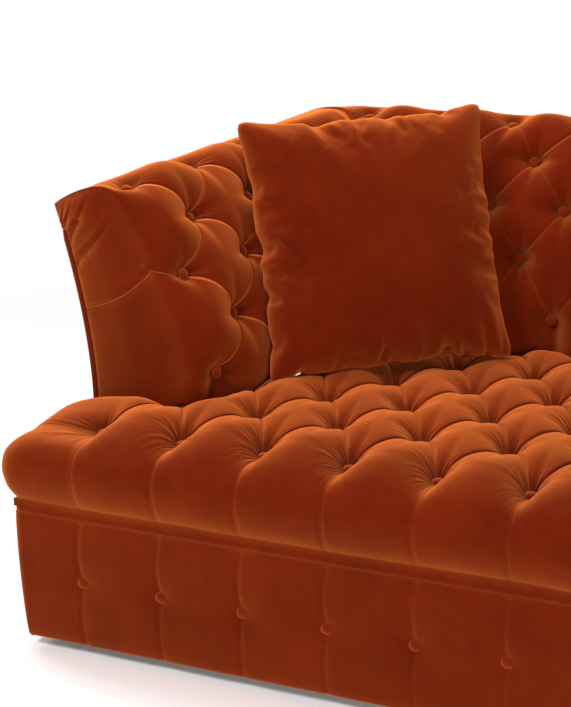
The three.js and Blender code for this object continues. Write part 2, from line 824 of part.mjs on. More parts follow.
function addBackRibs(frame, top) {
  const nearest = mitreX(flareDepth * backSqueeze + frameEnd) + ribThickness;
  for (let i = 0; i < backRibCount; i += 1) {
    const x = THREE.MathUtils.lerp(nearest, -nearest, i / (backRibCount - 1));
    const space = backSlab(x - ribThickness / 2, x + ribThickness / 2, wallBottom, top);
    addPiece(`back_rib_${i + 1}`, intersect(frame, space), plywood, 0.7);
  }
}

// Mattress: one buttoned pad, T-shaped in plan, that rolls over its front and sides

// From the outer buttons over the edge to the seam: outward and downward, as shares of the
// overhang and of the drop to the seam
const edgeProfileShares = [
  [0, 0], [0.42, -0.03], [0.86, -0.17], [1.12, -0.4], [1.16, -0.62], [1.08, -0.84], [0.97, -1],
];
const edgeProfile = new THREE.SplineCurve(edgeProfileShares.map((p) => new THREE.Vector2(...p)));
const edgeSteps = edgeProfileShares.length - 1;
const edgeEvenShare = 0.35; // the pleats are this much shallower down at the seam
const edgeFlatShare = 0.9; // and the puffs add this much less to the height
const cornerSoftPower = 4; // the mattress's corners are round on top
const cornerSharpPower = 14; // and nearly square at the seam

// Distance to the footprint of the arms and the back
function wallDistance(x, y) {
  const footShare = wallShares.foot;
  const behindFront = y - armFrontY;
  const footX = armTopX + behindFront * Math.tan(armSplay) + armFootWidth * footShare;
  const sideways = (-Math.abs(x) - footX) * Math.cos(armSplay);
  let toArm = Math.max(sideways, -behindFront);
  if (sideways > 0 && behindFront < 0) {
    toArm = Math.hypot(sideways, behindFront);
  }
  const toBack = backY - backFootDepth * footShare - y;
  return Math.min(Math.max(toArm, 0), Math.max(toBack, 0));
}

// Steps past the outermost buttons: 0 over the buttoned field, 1 at the seam
function pastColumns(column) {
  return Math.max(-column, column - (seatColumns - 1), 0);
}

function mattressPoint(column, row) {
  const sideways = pastColumns(column);
  const ahead = Math.max(-row, 0);
  const power = THREE.MathUtils.lerp(cornerSoftPower, cornerSharpPower, Math.max(sideways, ahead) ** 3);
  const past = Math.min((sideways ** power + ahead ** power) ** (1 / power), 1);
  const profile = edgeProfile.getPoint(past);
  const sideShare = past > 0 ? sideways / past : 0;
  const frontShare = past > 0 ? ahead / past : 0;
  const side = Math.sign(column - (seatColumns - 1) / 2);
  const fieldColumn = THREE.MathUtils.clamp(column, 0, seatColumns - 1);
  const fieldRow = Math.max(row, 0);
  const x = columnOneX + fieldColumn * columnSpacing + side * sideShare * profile.x * sideOverhang;
  const y = rowOneY + fieldRow * rowSpacing - frontShare * profile.x * frontOverhang;
  const puff = THREE.MathUtils.lerp(tuftHeight(fieldColumn, fieldRow), 1, past * edgeEvenShare);
  const near = wallDistance(x, y);
  const crease = creaseDepth * (1 - smooth(near / creaseReach)) * (1 - past);
  const lift = puff * tuftDepth * smooth(near / creaseFade) * (1 - past * edgeFlatShare);
  const z = bedHeight + profile.y * (mattressHeight - bandHeight) + lift - crease;
  const swell = edgeSwell * past * (1 - past ** 6) * puff;
  return new THREE.Vector3(x + side * sideShare * swell, y - frontShare * swell, z);
}

// Grid lines over the buttoned field, with the steps of the rolled edges before and after it
function gridLines(last, step, edgeAfter) {
  const lines = [];
  for (let i = edgeSteps; i > 0; i -= 1) {
    lines.push(-i / edgeSteps);
  }
  for (let value = 0; value <= last + step / 2; value += step) {
    lines.push(value);
  }
  for (let i = 1; edgeAfter && i <= edgeSteps; i += 1) {
    lines.push(last + i / edgeSteps);
  }
  return lines;
}

// How far the mattress runs back, in rows: to the first grid line inside the back's foot
function seatReach() {
  const rearY = backY - backFootDepth * wallShares.foot;
  return Math.ceil((rearY - rowOneY) / rowSpacing * stepsPerRow) / stepsPerRow;
}

function addMattress() {
  const columns = gridLines(seatColumns - 1, 1 / stepsPerPitch, true);
  const rows = gridLines(seatReach(), 1 / stepsPerRow, false);
  const grid = rows.map((row) => columns.map((column) => mattressPoint(column, row)));
  const pad = gridSolid(grid, mattressBottom, (i, j) => (i + j) % 2 === 0);
  const footprint = wallFootprint();
  const trimmed = subtract(pad, footprint, mirrored(footprint), backFootprint());
  addPiece('seat_mattress', trimmed, velvetTop);
}

// A grid of points closed by walls and a flat bottom
function gridSolid(grid, bottom, fold) {
  const rows = grid.length;
  const columns = grid[0].length;
  const positions = grid.flat().flatMap((p) => [p.x, p.y, p.z]);
  const index = [];
  const at = (i, j) => i * columns + j;
  for (let i = 0; i < rows - 1; i += 1) {
    for (let j = 0; j < columns - 1; j += 1) {
      const [a, b, c, d] = [at(i, j), at(i, j + 1), at(i + 1, j), at(i + 1, j + 1)];
      if (fold(i, j)) {
        index.push(a, b, d, a, d, c);
      } else {
        index.push(a, b, c, b, d, c);
      }
    }
  }
  const rim = [];
  for (let j = 0; j < columns - 1; j += 1) rim.push(at(0, j));
  for (let i = 0; i < rows - 1; i += 1) rim.push(at(i, columns - 1));
  for (let j = columns - 1; j > 0; j -= 1) rim.push(at(rows - 1, j));
  for (let i = rows - 1; i > 0; i -= 1) rim.push(at(i, 0));
  const start = positions.length / 3;
  const middle = start + rim.length;
  const centre = new THREE.Vector3();
  for (const k of rim) {
    const low = new THREE.Vector3(positions[3 * k], positions[3 * k + 1], bottom);
    positions.push(low.x, low.y, low.z);
    centre.addScaledVector(low, 1 / rim.length);
  }
  positions.push(centre.x, centre.y, bottom);
  rim.forEach((top, k) => {
    const next = (k + 1) % rim.length;
    index.push(top, start + k, rim[next], rim[next], start + k, start + next);
    index.push(middle, start + next, start + k);
  });
  const geometry = new THREE.BufferGeometry();
  geometry.setAttribute('position', new THREE.Float32BufferAttribute(positions, 3));
  geometry.setIndex(index);
  return facingOut(geometry);
}

// Plan of an arm's foot, with its round inner corner, as a cutter for the mattress
function wallFootprint() {
  const foot = armFootWidth * wallShares.foot + clearance;
  const outline = [...frontStations(), firstArmTuft, armFrontRound].map((distance) => [
    armTopX + distance * Math.tan(armSplay) + foot - frontInset(distance),
    armFrontY + distance - clearance,
  ]);
  const end = armLength + overrun;
  outline.push([armTopX + end * Math.tan(armSplay) + foot, armFrontY + end]);
  outline.push([armTopX - overrun, armFrontY + end]);
  outline.push([armTopX - overrun, armFrontY - clearance]);
  return prism(outline, 0, 2 * bedHeight);
}

function backFootprint() {
  const y = backY - backFootDepth * wallShares.foot - clearance;
  const reach = Math.abs(armTopX);
  const outline = [[-reach, y], [reach, y], [reach, backY + overrun], [-reach, backY + overrun]];
  return prism(outline, 0, 2 * bedHeight);
}

// Scatter cushion with its zip

function cushionPoint(a, b, side) {
  const half = cushionSize / 2;
  const drawnA = 1 - cushionDrawInShare * (1 - b ** 4) * Math.abs(a) ** 3;
  const drawnB = 1 - cushionDrawInShare * (1 - a ** 4) * Math.abs(b) ** 3;
  const fall = (1 - Math.abs(a) ** crownPower) * (1 - Math.abs(b) ** crownPower);
  const depth = (cushionThickness - cushionEdge) / 2 * fall ** crownRoundShare + cushionEdge / 2;
  return new THREE.Vector3(a * drawnA * half, b * drawnB * half, side * depth);
}

// Places across the cushion from -1 to 1, closer together toward its seams
function cushionShares() {
  return Array.from({ length: cushionSteps + 1 }, (_, i) => {
    const even = i / cushionSteps * 2 - 1;
    return THREE.MathUtils.lerp(even, Math.sin(even * Math.PI / 2), cushionCrowdShare);
  });
}

function cushionGeometry() {
  const shares = cushionShares();
  const n = shares.length;
  const positions = [];
  for (const side of [1, -1]) {
    for (const b of shares) {
      for (const a of shares) {
        positions.push(...cushionPoint(a, b, side).toArray());
      }
    }
  }
  const index = [];
  const back = n * n;
  for (let i = 0; i < n - 1; i += 1) {
    for (let j = 0; j < n - 1; j += 1) {
      const [a, b, c, d] = [i * n + j, i * n + j + 1, (i + 1) * n + j, (i + 1) * n + j + 1];
      index.push(a, b, d, a, d, c);
      index.push(back + a, back + d, back + b, back + a, back + c, back + d);
    }
  }
  const rim = [];
  for (let j = 0; j < n - 1; j += 1) rim.push(j);
  for (let i = 0; i < n - 1; i += 1) rim.push(i * n + n - 1);
  for (let j = n - 1; j > 0; j -= 1) rim.push((n - 1) * n + j);
  for (let i = n - 1; i > 0; i -= 1) rim.push(i * n);
  rim.forEach((here, k) => {
    const next = rim[(k + 1) % rim.length];
    index.push(here, back + here, next, next, back + here, back + next);
  });
  const geometry = new THREE.BufferGeometry();
  geometry.setAttribute('position', new THREE.Float32BufferAttribute(positions, 3));
  geometry.setIndex(index);
  return facingOut(geometry);
}

const zipSeat = -(cushionSize / 2 - zipDepth);

function placedBox(width, depth, height, x, y, z) {
  const box = new THREE.BoxGeometry(width, depth, height);
  box.translate(x, y, z);
  return box;
}

// Heights in the cushion's own frame, from the tape outward to the pull's pin
const sliderTop = zipSeat - clearance - tapeThickness - clearance;
const lugTop = sliderTop - sliderHeight;
const pinHeight = lugTop - lugHeight + lugThickness;

function sliderGeometry() {
  const body = placedBox(sliderLength, sliderHeight, sliderWidth, 0, sliderTop - sliderHeight / 2, 0);
  const room = pullWidth + 2 * clearance;
  const lugs = [-1, 1].map((side) => placedBox(
    2 * lugThickness, lugHeight + clearance, lugThickness,
    0, lugTop + clearance - (lugHeight + clearance) / 2, side * (room + lugThickness) / 2,
  ));
  const pin = new THREE.CylinderGeometry(pinRadius, pinRadius, room + lugThickness, pinSides);
  pin.rotateX(Math.PI / 2);
  pin.translate(0, pinHeight, 0);
  return unite(body, [...lugs, pin]);
}

// Tab with an eye on the pin and a round end
function pullGeometry() {
  const eye = 2 * pinRadius;
  const tab = new THREE.Shape();
  tab.absarc(0, 0, eye, -Math.PI / 2, Math.PI / 2, false);
  tab.absarc(eye - pullLength, 0, eye, Math.PI / 2, Math.PI * 1.5, false);
  const hole = new THREE.Path();
  hole.absarc(0, 0, pinRadius + pinPlay, 0, 2 * Math.PI, true);
  tab.holes.push(hole);
  const pull = new THREE.ExtrudeGeometry(tab, { depth: pullWidth, bevelEnabled: false, curveSegments: 8 });
  pull.translate(0, 0, -pullWidth / 2);
  return pull;
}

// How far one mesh can travel before its points, or points along its edges, meet the other
function freeTravel(mesh, other, direction) {
  const caster = new THREE.Raycaster();
  const { position } = mesh.geometry.attributes;
  const { index } = mesh.geometry;
  const at = (k) => new THREE.Vector3().fromBufferAttribute(position, index.getX(k));
  let travel = Infinity;
  for (let k = 0; k < index.count; k += 1) {
    const next = k % 3 === 2 ? k - 2 : k + 1;
    for (const along of [0, 0.25, 0.5, 0.75]) {
      const point = at(k).lerp(at(next), along).applyMatrix4(mesh.matrixWorld);
      caster.set(point, direction);
      for (const hit of caster.intersectObject(other)) {
        travel = Math.min(travel, hit.distance);
      }
    }
  }
  return travel;
}

function addCushion() {
  const place = new THREE.Group();
  sofa.add(place);
  const right = new THREE.Vector3(Math.cos(cushionYaw), Math.sin(cushionYaw), Math.sin(cushionTilt));
  right.normalize();
  const flatNormal = new THREE.Vector3(Math.sin(cushionYaw), -Math.cos(cushionYaw), 0);
  const normal = flatNormal.multiplyScalar(Math.cos(cushionLean));
  normal.z = Math.sin(cushionLean);
  normal.addScaledVector(right, -normal.dot(right)).normalize();
  const up = new THREE.Vector3().crossVectors(normal, right);
  place.matrix.makeBasis(right, up, normal);
  place.quaternion.setFromRotationMatrix(place.matrix);
  place.position.set(columnOneX + cushionRight, backY - cushionBack, bedHeight + cushionSize);
  const slot = placedBox(
    zipLength + 2 * clearance, zipDepth + overrun, tapeWidth + 2 * clearance,
    0, zipSeat - (zipDepth + overrun) / 2, 0,
  );
  const cushion = addPiece('scatter_cushion', subtract(cushionGeometry(), slot), velvetSide, 0.85, 0, place);
  const tape = placedBox(zipLength, tapeThickness, tapeWidth, 0, zipSeat - clearance - tapeThickness / 2, 0);
  addPiece('zip_tape', tape, tapeRed, 0.9, 0, place);
  const slider = addPiece('zip_slider', sliderGeometry(), nickel, 0.35, 0.9, place);
  slider.position.x = sliderStart;
  const pull = addPiece('zip_pull', pullGeometry(), nickel, 0.35, 0.9, place);
  pull.position.set(sliderStart, pinHeight, 0);
  pull.rotation.z = pullDroop;
  sofa.updateMatrixWorld(true);
  // The cushion is lowered until it rests on the mattress
  const mattress = sofa.getObjectByName('seat_mattress');
  place.position.z -= freeTravel(cushion, mattress, new THREE.Vector3(0, 0, -1)) - clearance;
}

addRails();
addCrossRails();
addCornerBlocks();
addFeet();
addDustCover();
addStraps();
addBorders();
addPiping();
addArms();
addBack();
addMattress();
addCushion();

export default sofa;
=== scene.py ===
import bpy
import bmesh
import math
import numpy as np
from mathutils import Matrix, Vector, geometry, noise


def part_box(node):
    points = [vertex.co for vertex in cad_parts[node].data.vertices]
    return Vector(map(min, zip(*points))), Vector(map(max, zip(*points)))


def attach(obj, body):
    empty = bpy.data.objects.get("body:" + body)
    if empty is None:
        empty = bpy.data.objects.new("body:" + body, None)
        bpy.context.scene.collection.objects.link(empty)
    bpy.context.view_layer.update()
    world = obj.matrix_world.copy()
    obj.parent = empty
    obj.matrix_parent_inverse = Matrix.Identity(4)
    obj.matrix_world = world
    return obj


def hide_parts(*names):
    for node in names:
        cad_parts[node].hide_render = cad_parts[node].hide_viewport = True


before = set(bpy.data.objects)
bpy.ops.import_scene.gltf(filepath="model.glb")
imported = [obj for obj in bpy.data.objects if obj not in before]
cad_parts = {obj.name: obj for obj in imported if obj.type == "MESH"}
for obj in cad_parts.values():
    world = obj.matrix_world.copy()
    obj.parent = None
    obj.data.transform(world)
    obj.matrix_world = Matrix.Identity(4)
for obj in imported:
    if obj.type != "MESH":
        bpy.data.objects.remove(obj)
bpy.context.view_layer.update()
scene = bpy.context.scene

# sizes that several pieces share, in metres, as in the frame
sofa = {
    "pitch": 0.160, "rowPitch": 0.145, "columns": 12, "columnOneX": -0.880, "rowOneY": -0.416,
    "bed": 0.420, "seamFrontY": -0.507, "seamLeftX": -1.026, "splay": math.tan(math.radians(17.2)),
    "armFrontY": -0.216, "armTopX": -1.091, "backY": 0.529, "armLength": 0.745,
    "footWidth": 0.306, "backFoot": 0.195, "faceFoot": 0.967,  # the buttoned face's share of a foot
    "fine": 32,  # steps from one button to the next
}
pitch, rowPitch, splay, bed = sofa["pitch"], sofa["rowPitch"], sofa["splay"], sofa["bed"]
armTopX, armFrontY, armLength = sofa["armTopX"], sofa["armFrontY"], sofa["armLength"]
backY, columnOneX, lastColumn = sofa["backY"], sofa["columnOneX"], sofa["columns"] - 1
backSqueeze = sofa["backFoot"] / sofa["footWidth"]  # the back's section is the arm's, made narrower


def addObject(name, data):
    made = bpy.data.objects.new(name, data)
    scene.collection.objects.link(made)
    return made


# Camera and lamps

photoView = {"place": (0.5802, -2.9262, 1.3887), "yaw": 23.66, "pitch": 15.91, "lens": 84.98}
lamps = {
    "key": {"place": (-1.6, -4.0, 4.4), "aim": (-0.2, 0.0, 0.5), "size": 1.5, "power": 200},
    "top": {"place": (-0.9, 0.2, 3.0), "aim": (-0.2, 0.0, 0.4), "size": 1.6, "power": 50},
    "fill": {"place": (2.0, -4.2, 1.3), "aim": (0.1, 0.0, 0.3), "size": 1.8, "power": 125},
    "side": {"place": (-3.4, 0.9, 2.3), "aim": (-0.6, 0.0, 0.7), "size": 1.8, "power": 45},
}


def makeCamera():
    data = bpy.data.cameras.new("photoCamera")
    data.sensor_width = 36
    data.lens = photoView["lens"]
    scene.camera = addObject("photoCamera", data)
    scene.camera.location = photoView["place"]
    turns = (90 - photoView["pitch"], 0, photoView["yaw"])
    scene.camera.rotation_euler = [math.radians(turn) for turn in turns]


def makeLamps():
    for name, lamp in lamps.items():
        data = bpy.data.lights.new(name, "AREA")
        data.shape = "SQUARE"
        data.size, data.energy = lamp["size"], lamp["power"]
        holder = addObject(name, data)
        holder.location = lamp["place"]
        aim = Vector(lamp["aim"]) - Vector(lamp["place"])
        holder.rotation_euler = aim.to_track_quat("-Z", "Y").to_euler()


# A socket that takes part in sums
class Wire:
    def __init__(self, board, socket):
        self.board = board
        self.socket = socket

    def maths(self, operation, *values, **more):
        sockets = dict(enumerate((self, *values)))
        return self.board.node("ShaderNodeMath", {"operation": operation, **more}, sockets)

    def __add__(self, other): return self.maths("ADD", other)
    def __radd__(self, other): return self.maths("ADD", other)
    def __mul__(self, other): return self.maths("MULTIPLY", other)
    def __rmul__(self, other): return self.maths("MULTIPLY", other)
    def __sub__(self, other): return self.maths("SUBTRACT", other)
    def __rsub__(self, other): return (self * -1).maths("ADD", other)
    def __truediv__(self, other): return self.maths("DIVIDE", other)
    def __pow__(self, other): return self.maths("POWER", other)
    def __abs__(self): return self.maths("ABSOLUTE")
    def near(self): return self.maths("PINGPONG", 0.5)  # distance to the nearest whole number
    def held(self): return self.maths("ADD", 0.0, use_clamp=True)
    def most(self, other): return self.maths("MAXIMUM", other)
    def least(self, other): return self.maths("MINIMUM", other)


# The nodes of one material, of the world or of a Geometry Nodes tree
class Board:
    def __init__(self, tree):
        self.tree = tree
        tree.nodes.clear()

    def node(self, kind, settings=None, sockets=None, out=0):
        made = self.tree.nodes.new(kind)
        for key, value in (settings or {}).items():
            setattr(made, key, value)
        for key, value in (sockets or {}).items():
            if isinstance(value, Wire):
                self.tree.links.new(value.socket, made.inputs[key])
            else:
                made.inputs[key].default_value = value
        return Wire(self, made.outputs[out]) if made.outputs else made

    def spot(self):
        return self.node("ShaderNodeTexCoord", None, None, "Object")

    def parts(self, place):
        return [self.node("ShaderNodeSeparateXYZ", None, {"Vector": place}, axis) for axis in "XY"]

    def map(self, name):
        return self.parts(self.node("ShaderNodeUVMap", {"uv_map": name}))

    def weight(self, name):
        return self.node("ShaderNodeAttribute", {"attribute_name": name}, None, "Fac")

    def noise(self, place, scale, detail=2.0, roughness=0.5):
        sockets = {"Vector": place, "Scale": scale, "Detail": detail, "Roughness": roughness}
        return self.node("ShaderNodeTexNoise", None, sockets, "Fac")

    def mix(self, share, one, two):
        return self.node("ShaderNodeMix", {"data_type": "RGBA"}, {0: share, 6: one, 7: two}, 2)

    def mixShader(self, share, one, two):
        return self.node("ShaderNodeMixShader", None, {0: share, 1: one, 2: two})

    def bump(self, height, distance, strength, normal=None):
        sockets = {"Height": height, "Distance": distance, "Strength": strength}
        if normal:
            sockets["Normal"] = normal
        return self.node("ShaderNodeBump", None, sockets)

    def principled(self, sockets):
        return self.node("ShaderNodeBsdfPrincipled", None, sockets)

    def end(self, surface, kind="ShaderNodeOutputMaterial"):
        self.node(kind, None, {"Surface": surface})


def newMaterial(name):
    material = bpy.data.materials.new(name)
    material.use_nodes = True
    return material, Board(material.node_tree)


def rgb(*levels):
    made = [((c / 255 + 0.055) / 1.055) ** 2.4 if c > 10 else c / 255 / 12.92 for c in levels]
    return (*made, 1.0)


velvetLook = {
    "deep": rgb(82, 18, 3), "worn": rgb(120, 34, 7), "nap": rgb(236, 124, 56),
    # line: a painted highlight along the pleats and the arm front's seam folds; shade: painted
    # shade for the pits by the buttons and the fan folds
    "line": rgb(180, 82, 34), "shade": rgb(38, 9, 3),
    "turned": 0.87, "turnPower": 2.3,  # how much the pile shows from the side
    "sheen": 0.35, "sheenTint": (1.0, 0.30, 0.09, 1.0), "sheenRoughness": 0.40, "roughness": 0.9,
    "specular": 0.03, "pileScale": 1500, "patchScale": 5.5,
    "pileBump": (0.0009, 0.5), "pleatBump": (0.0045, 0.9),  # distance and strength
    "wear": (0.9, 0.5, 0.35),  # of the patches and the clouds, and how much is taken off
    "relief": (0.15, 0.25),  # of the pile and the clouds
    # how much painted highlight the pleat lines get, how much painted shade the pits and fan folds
    # get, and how deep their bumps are
    "lineSheenShare": 0.5, "pitShadeShare": 0.75, "fanShadeShare": 0.6, "lipHeight": -0.8, "foldHeight": -0.5,
    # how much the pile shows: what wear adds, what is there without it, and what the painted shade
    # in a pit takes
    "wornTurned": (0.4, 0.8), "pitShadeOnNap": 0.6,
}


# The buttoned velvet reads its place between the buttons from two UV maps: "field", held to the
# buttoned field so that the pleats run straight on past it, and "place", which goes on
def velvetFinish(name, buttoned=False, **changes):
    look = {**velvetLook, **changes}
    material, board = newMaterial(name)
    spot = board.spot()
    patches = board.noise(spot, look["patchScale"], 3.0, 0.6)
    cloudy = board.noise(spot, look["patchScale"] * 6, 4.0, 0.65)
    pile = board.noise(spot, look["pileScale"], 2.0, 0.7)
    (broad, fine, less), (raised, uneven) = look["wear"], look["relief"]
    worn = (patches * broad + cloudy * fine - less).held()
    colour = board.mix(worn, look["deep"], look["worn"])
    normal = board.bump(pile * raised + cloudy * uneven, *look["pileBump"])
    if buttoned:
        line, lip = pleatSheenLinesAndLips(board)
        wrinkle, pit = buttonWrinklesAndShade(board)
        fan, seam = frontFolds(board)
        # painted highlight: the pleat lines and the front's seam folds are lightened towards the
        # line colour
        colour = board.mix((line.most(seam) * look["lineSheenShare"]).held(), colour, look["line"])
        # painted shade: the pits by the buttons and the fan folds on the arm's front are darkened
        # towards the shade colour
        dark = (pit * look["pitShadeShare"] + fan * look["fanShadeShare"]).held()
        colour = board.mix(dark, colour, look["shade"])
        height = lip * look["lipHeight"] + (fan + seam) * look["foldHeight"] + wrinkle
        normal = board.bump(height, *look["pleatBump"], normal)
    facing = board.node("ShaderNodeLayerWeight", None, {"Blend": 0.5, "Normal": normal}, "Facing")
    cloth = {"Roughness": look["roughness"], "Specular IOR Level": look["specular"]}
    cloth["Normal"] = normal
    into = board.principled({
        **cloth, "Base Color": colour, "Sheen Weight": look["sheen"],
        "Sheen Roughness": look["sheenRoughness"], "Sheen Tint": look["sheenTint"]})
    across = board.principled({**cloth, "Base Color": look["nap"]})
    more, least = look["wornTurned"]
    share = (facing ** look["turnPower"] * (worn * more + least) * look["turned"]).held()
    if buttoned:
        # painted shade: less of the bright pile shows in the pits by the buttons
        share = share * (1 - pit * look["pitShadeOnNap"])
    board.end(board.mixShader(share, into, across))
    return material


# Widths as shares of the way between two buttons, and where from a button each begins
pleatLook = {"line": 0.014, "lineFrom": 0.12, "lip": 0.035, "lipFrom": 0.10}


# Masks along each pleat: the line is a painted highlight standing for sheen on the fold, the lip
# only sinks the bump
def pleatSheenLinesAndLips(board):
    u, v = board.map("field")
    one, two = (u + v * 0.5).near(), (u - v * 0.5).near()
    near, away = one.least(two), one.most(two)
    shown = board.weight("pleat")
    line = (1 - near / pleatLook["line"]).held() ** 1.5 * (away / pleatLook["lineFrom"]).held()
    lip = (1 - near / pleatLook["lip"]).held() * (away / pleatLook["lipFrom"]).held()
    return line * shown, lip * shown


# Noise on a ring round each button changes with the direction only, so it runs out in rays
wrinkleLook = {"ring": 2.6, "apart": (3.7, 5.3), "outward": 9, "scale": 1.3, "detail": 1.5,
               "height": 2.4, "pit": 0.034, "pitShadeShown": 8}


# Gives the wrinkles' height and a mask of painted shade in the pit round each real button; the pit
# entry is that shade's radius
def buttonWrinklesAndShade(board):
    look = wrinkleLook
    u, v = board.map("place")
    p, q = u + v * 0.5, u - v * 0.5
    wholeP, wholeQ = p.maths("ROUND"), q.maths("ROUND")
    stepP, stepQ = p - wholeP, q - wholeQ
    x, y = (stepP + stepQ) * (0.5 * pitch), (stepP - stepQ) * rowPitch
    far = (x * x + y * y) ** 0.5 + 0.0001
    ring = board.node("ShaderNodeCombineXYZ", None, {
        "X": x / far * look["ring"] + wholeP * look["apart"][0],
        "Y": y / far * look["ring"] + wholeQ * look["apart"][1], "Z": far * look["outward"]})
    folds = abs(board.noise(ring, look["scale"], look["detail"]) - 0.5) * look["height"]
    strength = board.weight("pucker")
    pit = (1 - far / look["pit"]).held() * (strength * look["pitShadeShown"]).held()
    return folds * strength, pit


def plainFinish(name, dark, light, scale, stretch=(1, 1, 1), roughness=0.6, bump=0.0006, **more):
    material, board = newMaterial(name)
    spot = board.node("ShaderNodeMapping", None, {"Vector": board.spot(), "Scale": stretch})
    grain = board.noise(spot, scale, 4.0, 0.6)
    broad = board.noise(spot, scale * 0.13)
    board.end(board.principled({
        "Base Color": board.mix((grain * 0.7 + broad * 0.6 - 0.15).held(), dark, light),
        "Roughness": (grain * 0.2 + (roughness - 0.1)).held(),
        "Normal": board.bump(grain, bump, 0.6), **more}))
    return material


def addMesh(name, corners, faces, finish, maps=None, weights=None):
    data = bpy.data.meshes.new(name)
    data.from_pydata([tuple(c) for c in np.asarray(corners).tolist()], [], faces)
    data.update()
    for mapName, values in (maps or {}).items():
        layer = data.uv_layers.new(name=mapName)
        spread = np.zeros(len(data.loops), np.int32)
        data.loops.foreach_get("vertex_index", spread)
        layer.data.foreach_set("uv", np.asarray(values, np.float32)[spread].ravel())
    for weightName, values in (weights or {}).items():
        layer = data.attributes.new(weightName, "FLOAT", "POINT")
        layer.data.foreach_set("value", np.asarray(values, np.float32).ravel())
    data.materials.append(finish)
    return addObject(name, data)


# Corners closer than the weld become one; edges sharper than the limit stay sharp
tidying = {"weld": 0.00002, "shortest": 0.00001, "sharp": math.radians(62)}


def tidyMesh(piece, weld=tidying["weld"], smooth=True):
    work = bmesh.new()
    work.from_mesh(piece.data)
    bmesh.ops.remove_doubles(work, verts=work.verts, dist=weld)
    bmesh.ops.dissolve_degenerate(work, edges=work.edges, dist=tidying["shortest"])
    bmesh.ops.recalc_face_normals(work, faces=work.faces)
    if work.calc_volume(signed=True) < 0:
        bmesh.ops.reverse_faces(work, faces=work.faces)
    for face in work.faces:
        face.smooth = smooth
    for edge in work.edges:
        edge.smooth = edge.calc_face_angle(0) < tidying["sharp"]
    work.to_mesh(piece.data)
    work.free()
    return piece


def keepResult(piece):
    graph = bpy.context.evaluated_depsgraph_get()
    made = bpy.data.meshes.new_from_object(piece.evaluated_get(graph))
    piece.modifiers.clear()
    piece.data = made


# Faces of a closed loft, with flat ends unless it runs round to its start
def loftFaces(count, size, around=False):
    faces = []
    for i in range(count if around else count - 1):
        for j in range(size):
            a, b = i * size + j, i * size + (j + 1) % size
            step = ((i + 1) % count) * size
            faces.append((a, b, step + (j + 1) % size, step + j))
    if not around:
        faces.append(tuple(range(size))[::-1])
        faces.append(tuple((count - 1) * size + j for j in range(size)))
    return faces


def addLoft(name, rings, finish, around=False, **how):
    faces = loftFaces(len(rings), len(rings[0]), around)
    return tidyMesh(addMesh(name, np.concatenate(rings), faces, finish), **how)


# Takes a solid, given as two rings of corners, away from a piece
def carve(piece, rings):
    cutter = addLoft("cutter", rings, piece.data.materials[0], smooth=False)
    modifier = piece.modifiers.new("carve", "BOOLEAN")
    modifier.operation = "DIFFERENCE"
    modifier.solver = "EXACT"
    modifier.object = cutter
    keepResult(piece)
    bpy.data.objects.remove(cutter)


# An upright plane cuts a piece and keeps what lies behind it
def carveBeyond(piece, point, normal):
    aside, away = Vector((-normal.y, normal.x, 0)) * 2, normal * 3
    plan = [point + aside, point - aside, point - aside + away, point + aside + away]
    carve(piece, [[(p.x, p.y, z) for p in plan] for z in (-1, 2)])
    tidyMesh(piece)


def dress(piece, body="sofa", nodes=()):
    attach(piece, body)
    if nodes:
        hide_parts(*nodes)
    return piece


def curveThrough(points, t):
    points = np.asarray(points, float)
    last = len(points) - 1
    place = np.clip(np.asarray(t, float), 0, 1) * last
    i = np.clip(np.floor(place).astype(int), 0, last)
    w = (place - i)[..., None]
    p0, p1 = points[np.maximum(i - 1, 0)], points[i]
    p2, p3 = points[np.minimum(i + 1, last)], points[np.minimum(i + 2, last)]
    v0, v1 = (p2 - p0) / 2, (p3 - p1) / 2
    bend, curl = -3 * p1 + 3 * p2 - 2 * v0 - v1, 2 * p1 - 2 * p2 + v0 + v1
    return curl * w ** 3 + bend * w ** 2 + v0 * w + p1


def ease(t):
    t = np.clip(t, 0, 1)
    return t * t * (3 - 2 * t)


# Section of a fold: a furrow with a lower ridge beside it
def furrow(off, aside, width):
    return np.exp(-off ** 2) - 0.5 * np.exp(-((off - aside) / width) ** 2)


# Faces of a grid, each cell folded one way or the other
def gridFaces(folds):
    faces = []
    wide = folds.shape[1] + 1
    for (i, j), fold in np.ndenumerate(folds):
        a = i * wide + j
        b, c, d = a + 1, a + wide, a + wide + 1
        faces += [(a, b, d), (a, d, c)] if fold else [(a, b, c), (b, d, c)]
    return faces


# Deep buttoning

tufting = {
    "pleat": 0.74, "pleatRound": 0.70, "puffRound": 0.60, "uneven": 0.12, "bed": 0.013,
    "pit": {"seat": 0.20, "wall": 0.24, "rollTop": 0.05}, "pitWidth": 0.026,
    "pucker": (0.009, 0.020, 0.064),  # radii between which the cloth wrinkles round a button
    "bowWidth": 0.17, "bowEnd": 0.98, "bowAway": (0.876, 0.483),  # across a slanting pleat
}


# Places along the two slanting families of pleats, and how far each is from the nearest pleat
def slanted(column, row):
    p, q = column + row / 2, column - row / 2
    return p, q, p - np.round(p), q - np.round(q)


def cellNoise(p, q, salt):
    value = np.sin(np.floor(p) * 127.1 + np.floor(q) * 311.7 + salt * 74.7) * 43758.5453
    return value - np.floor(value)


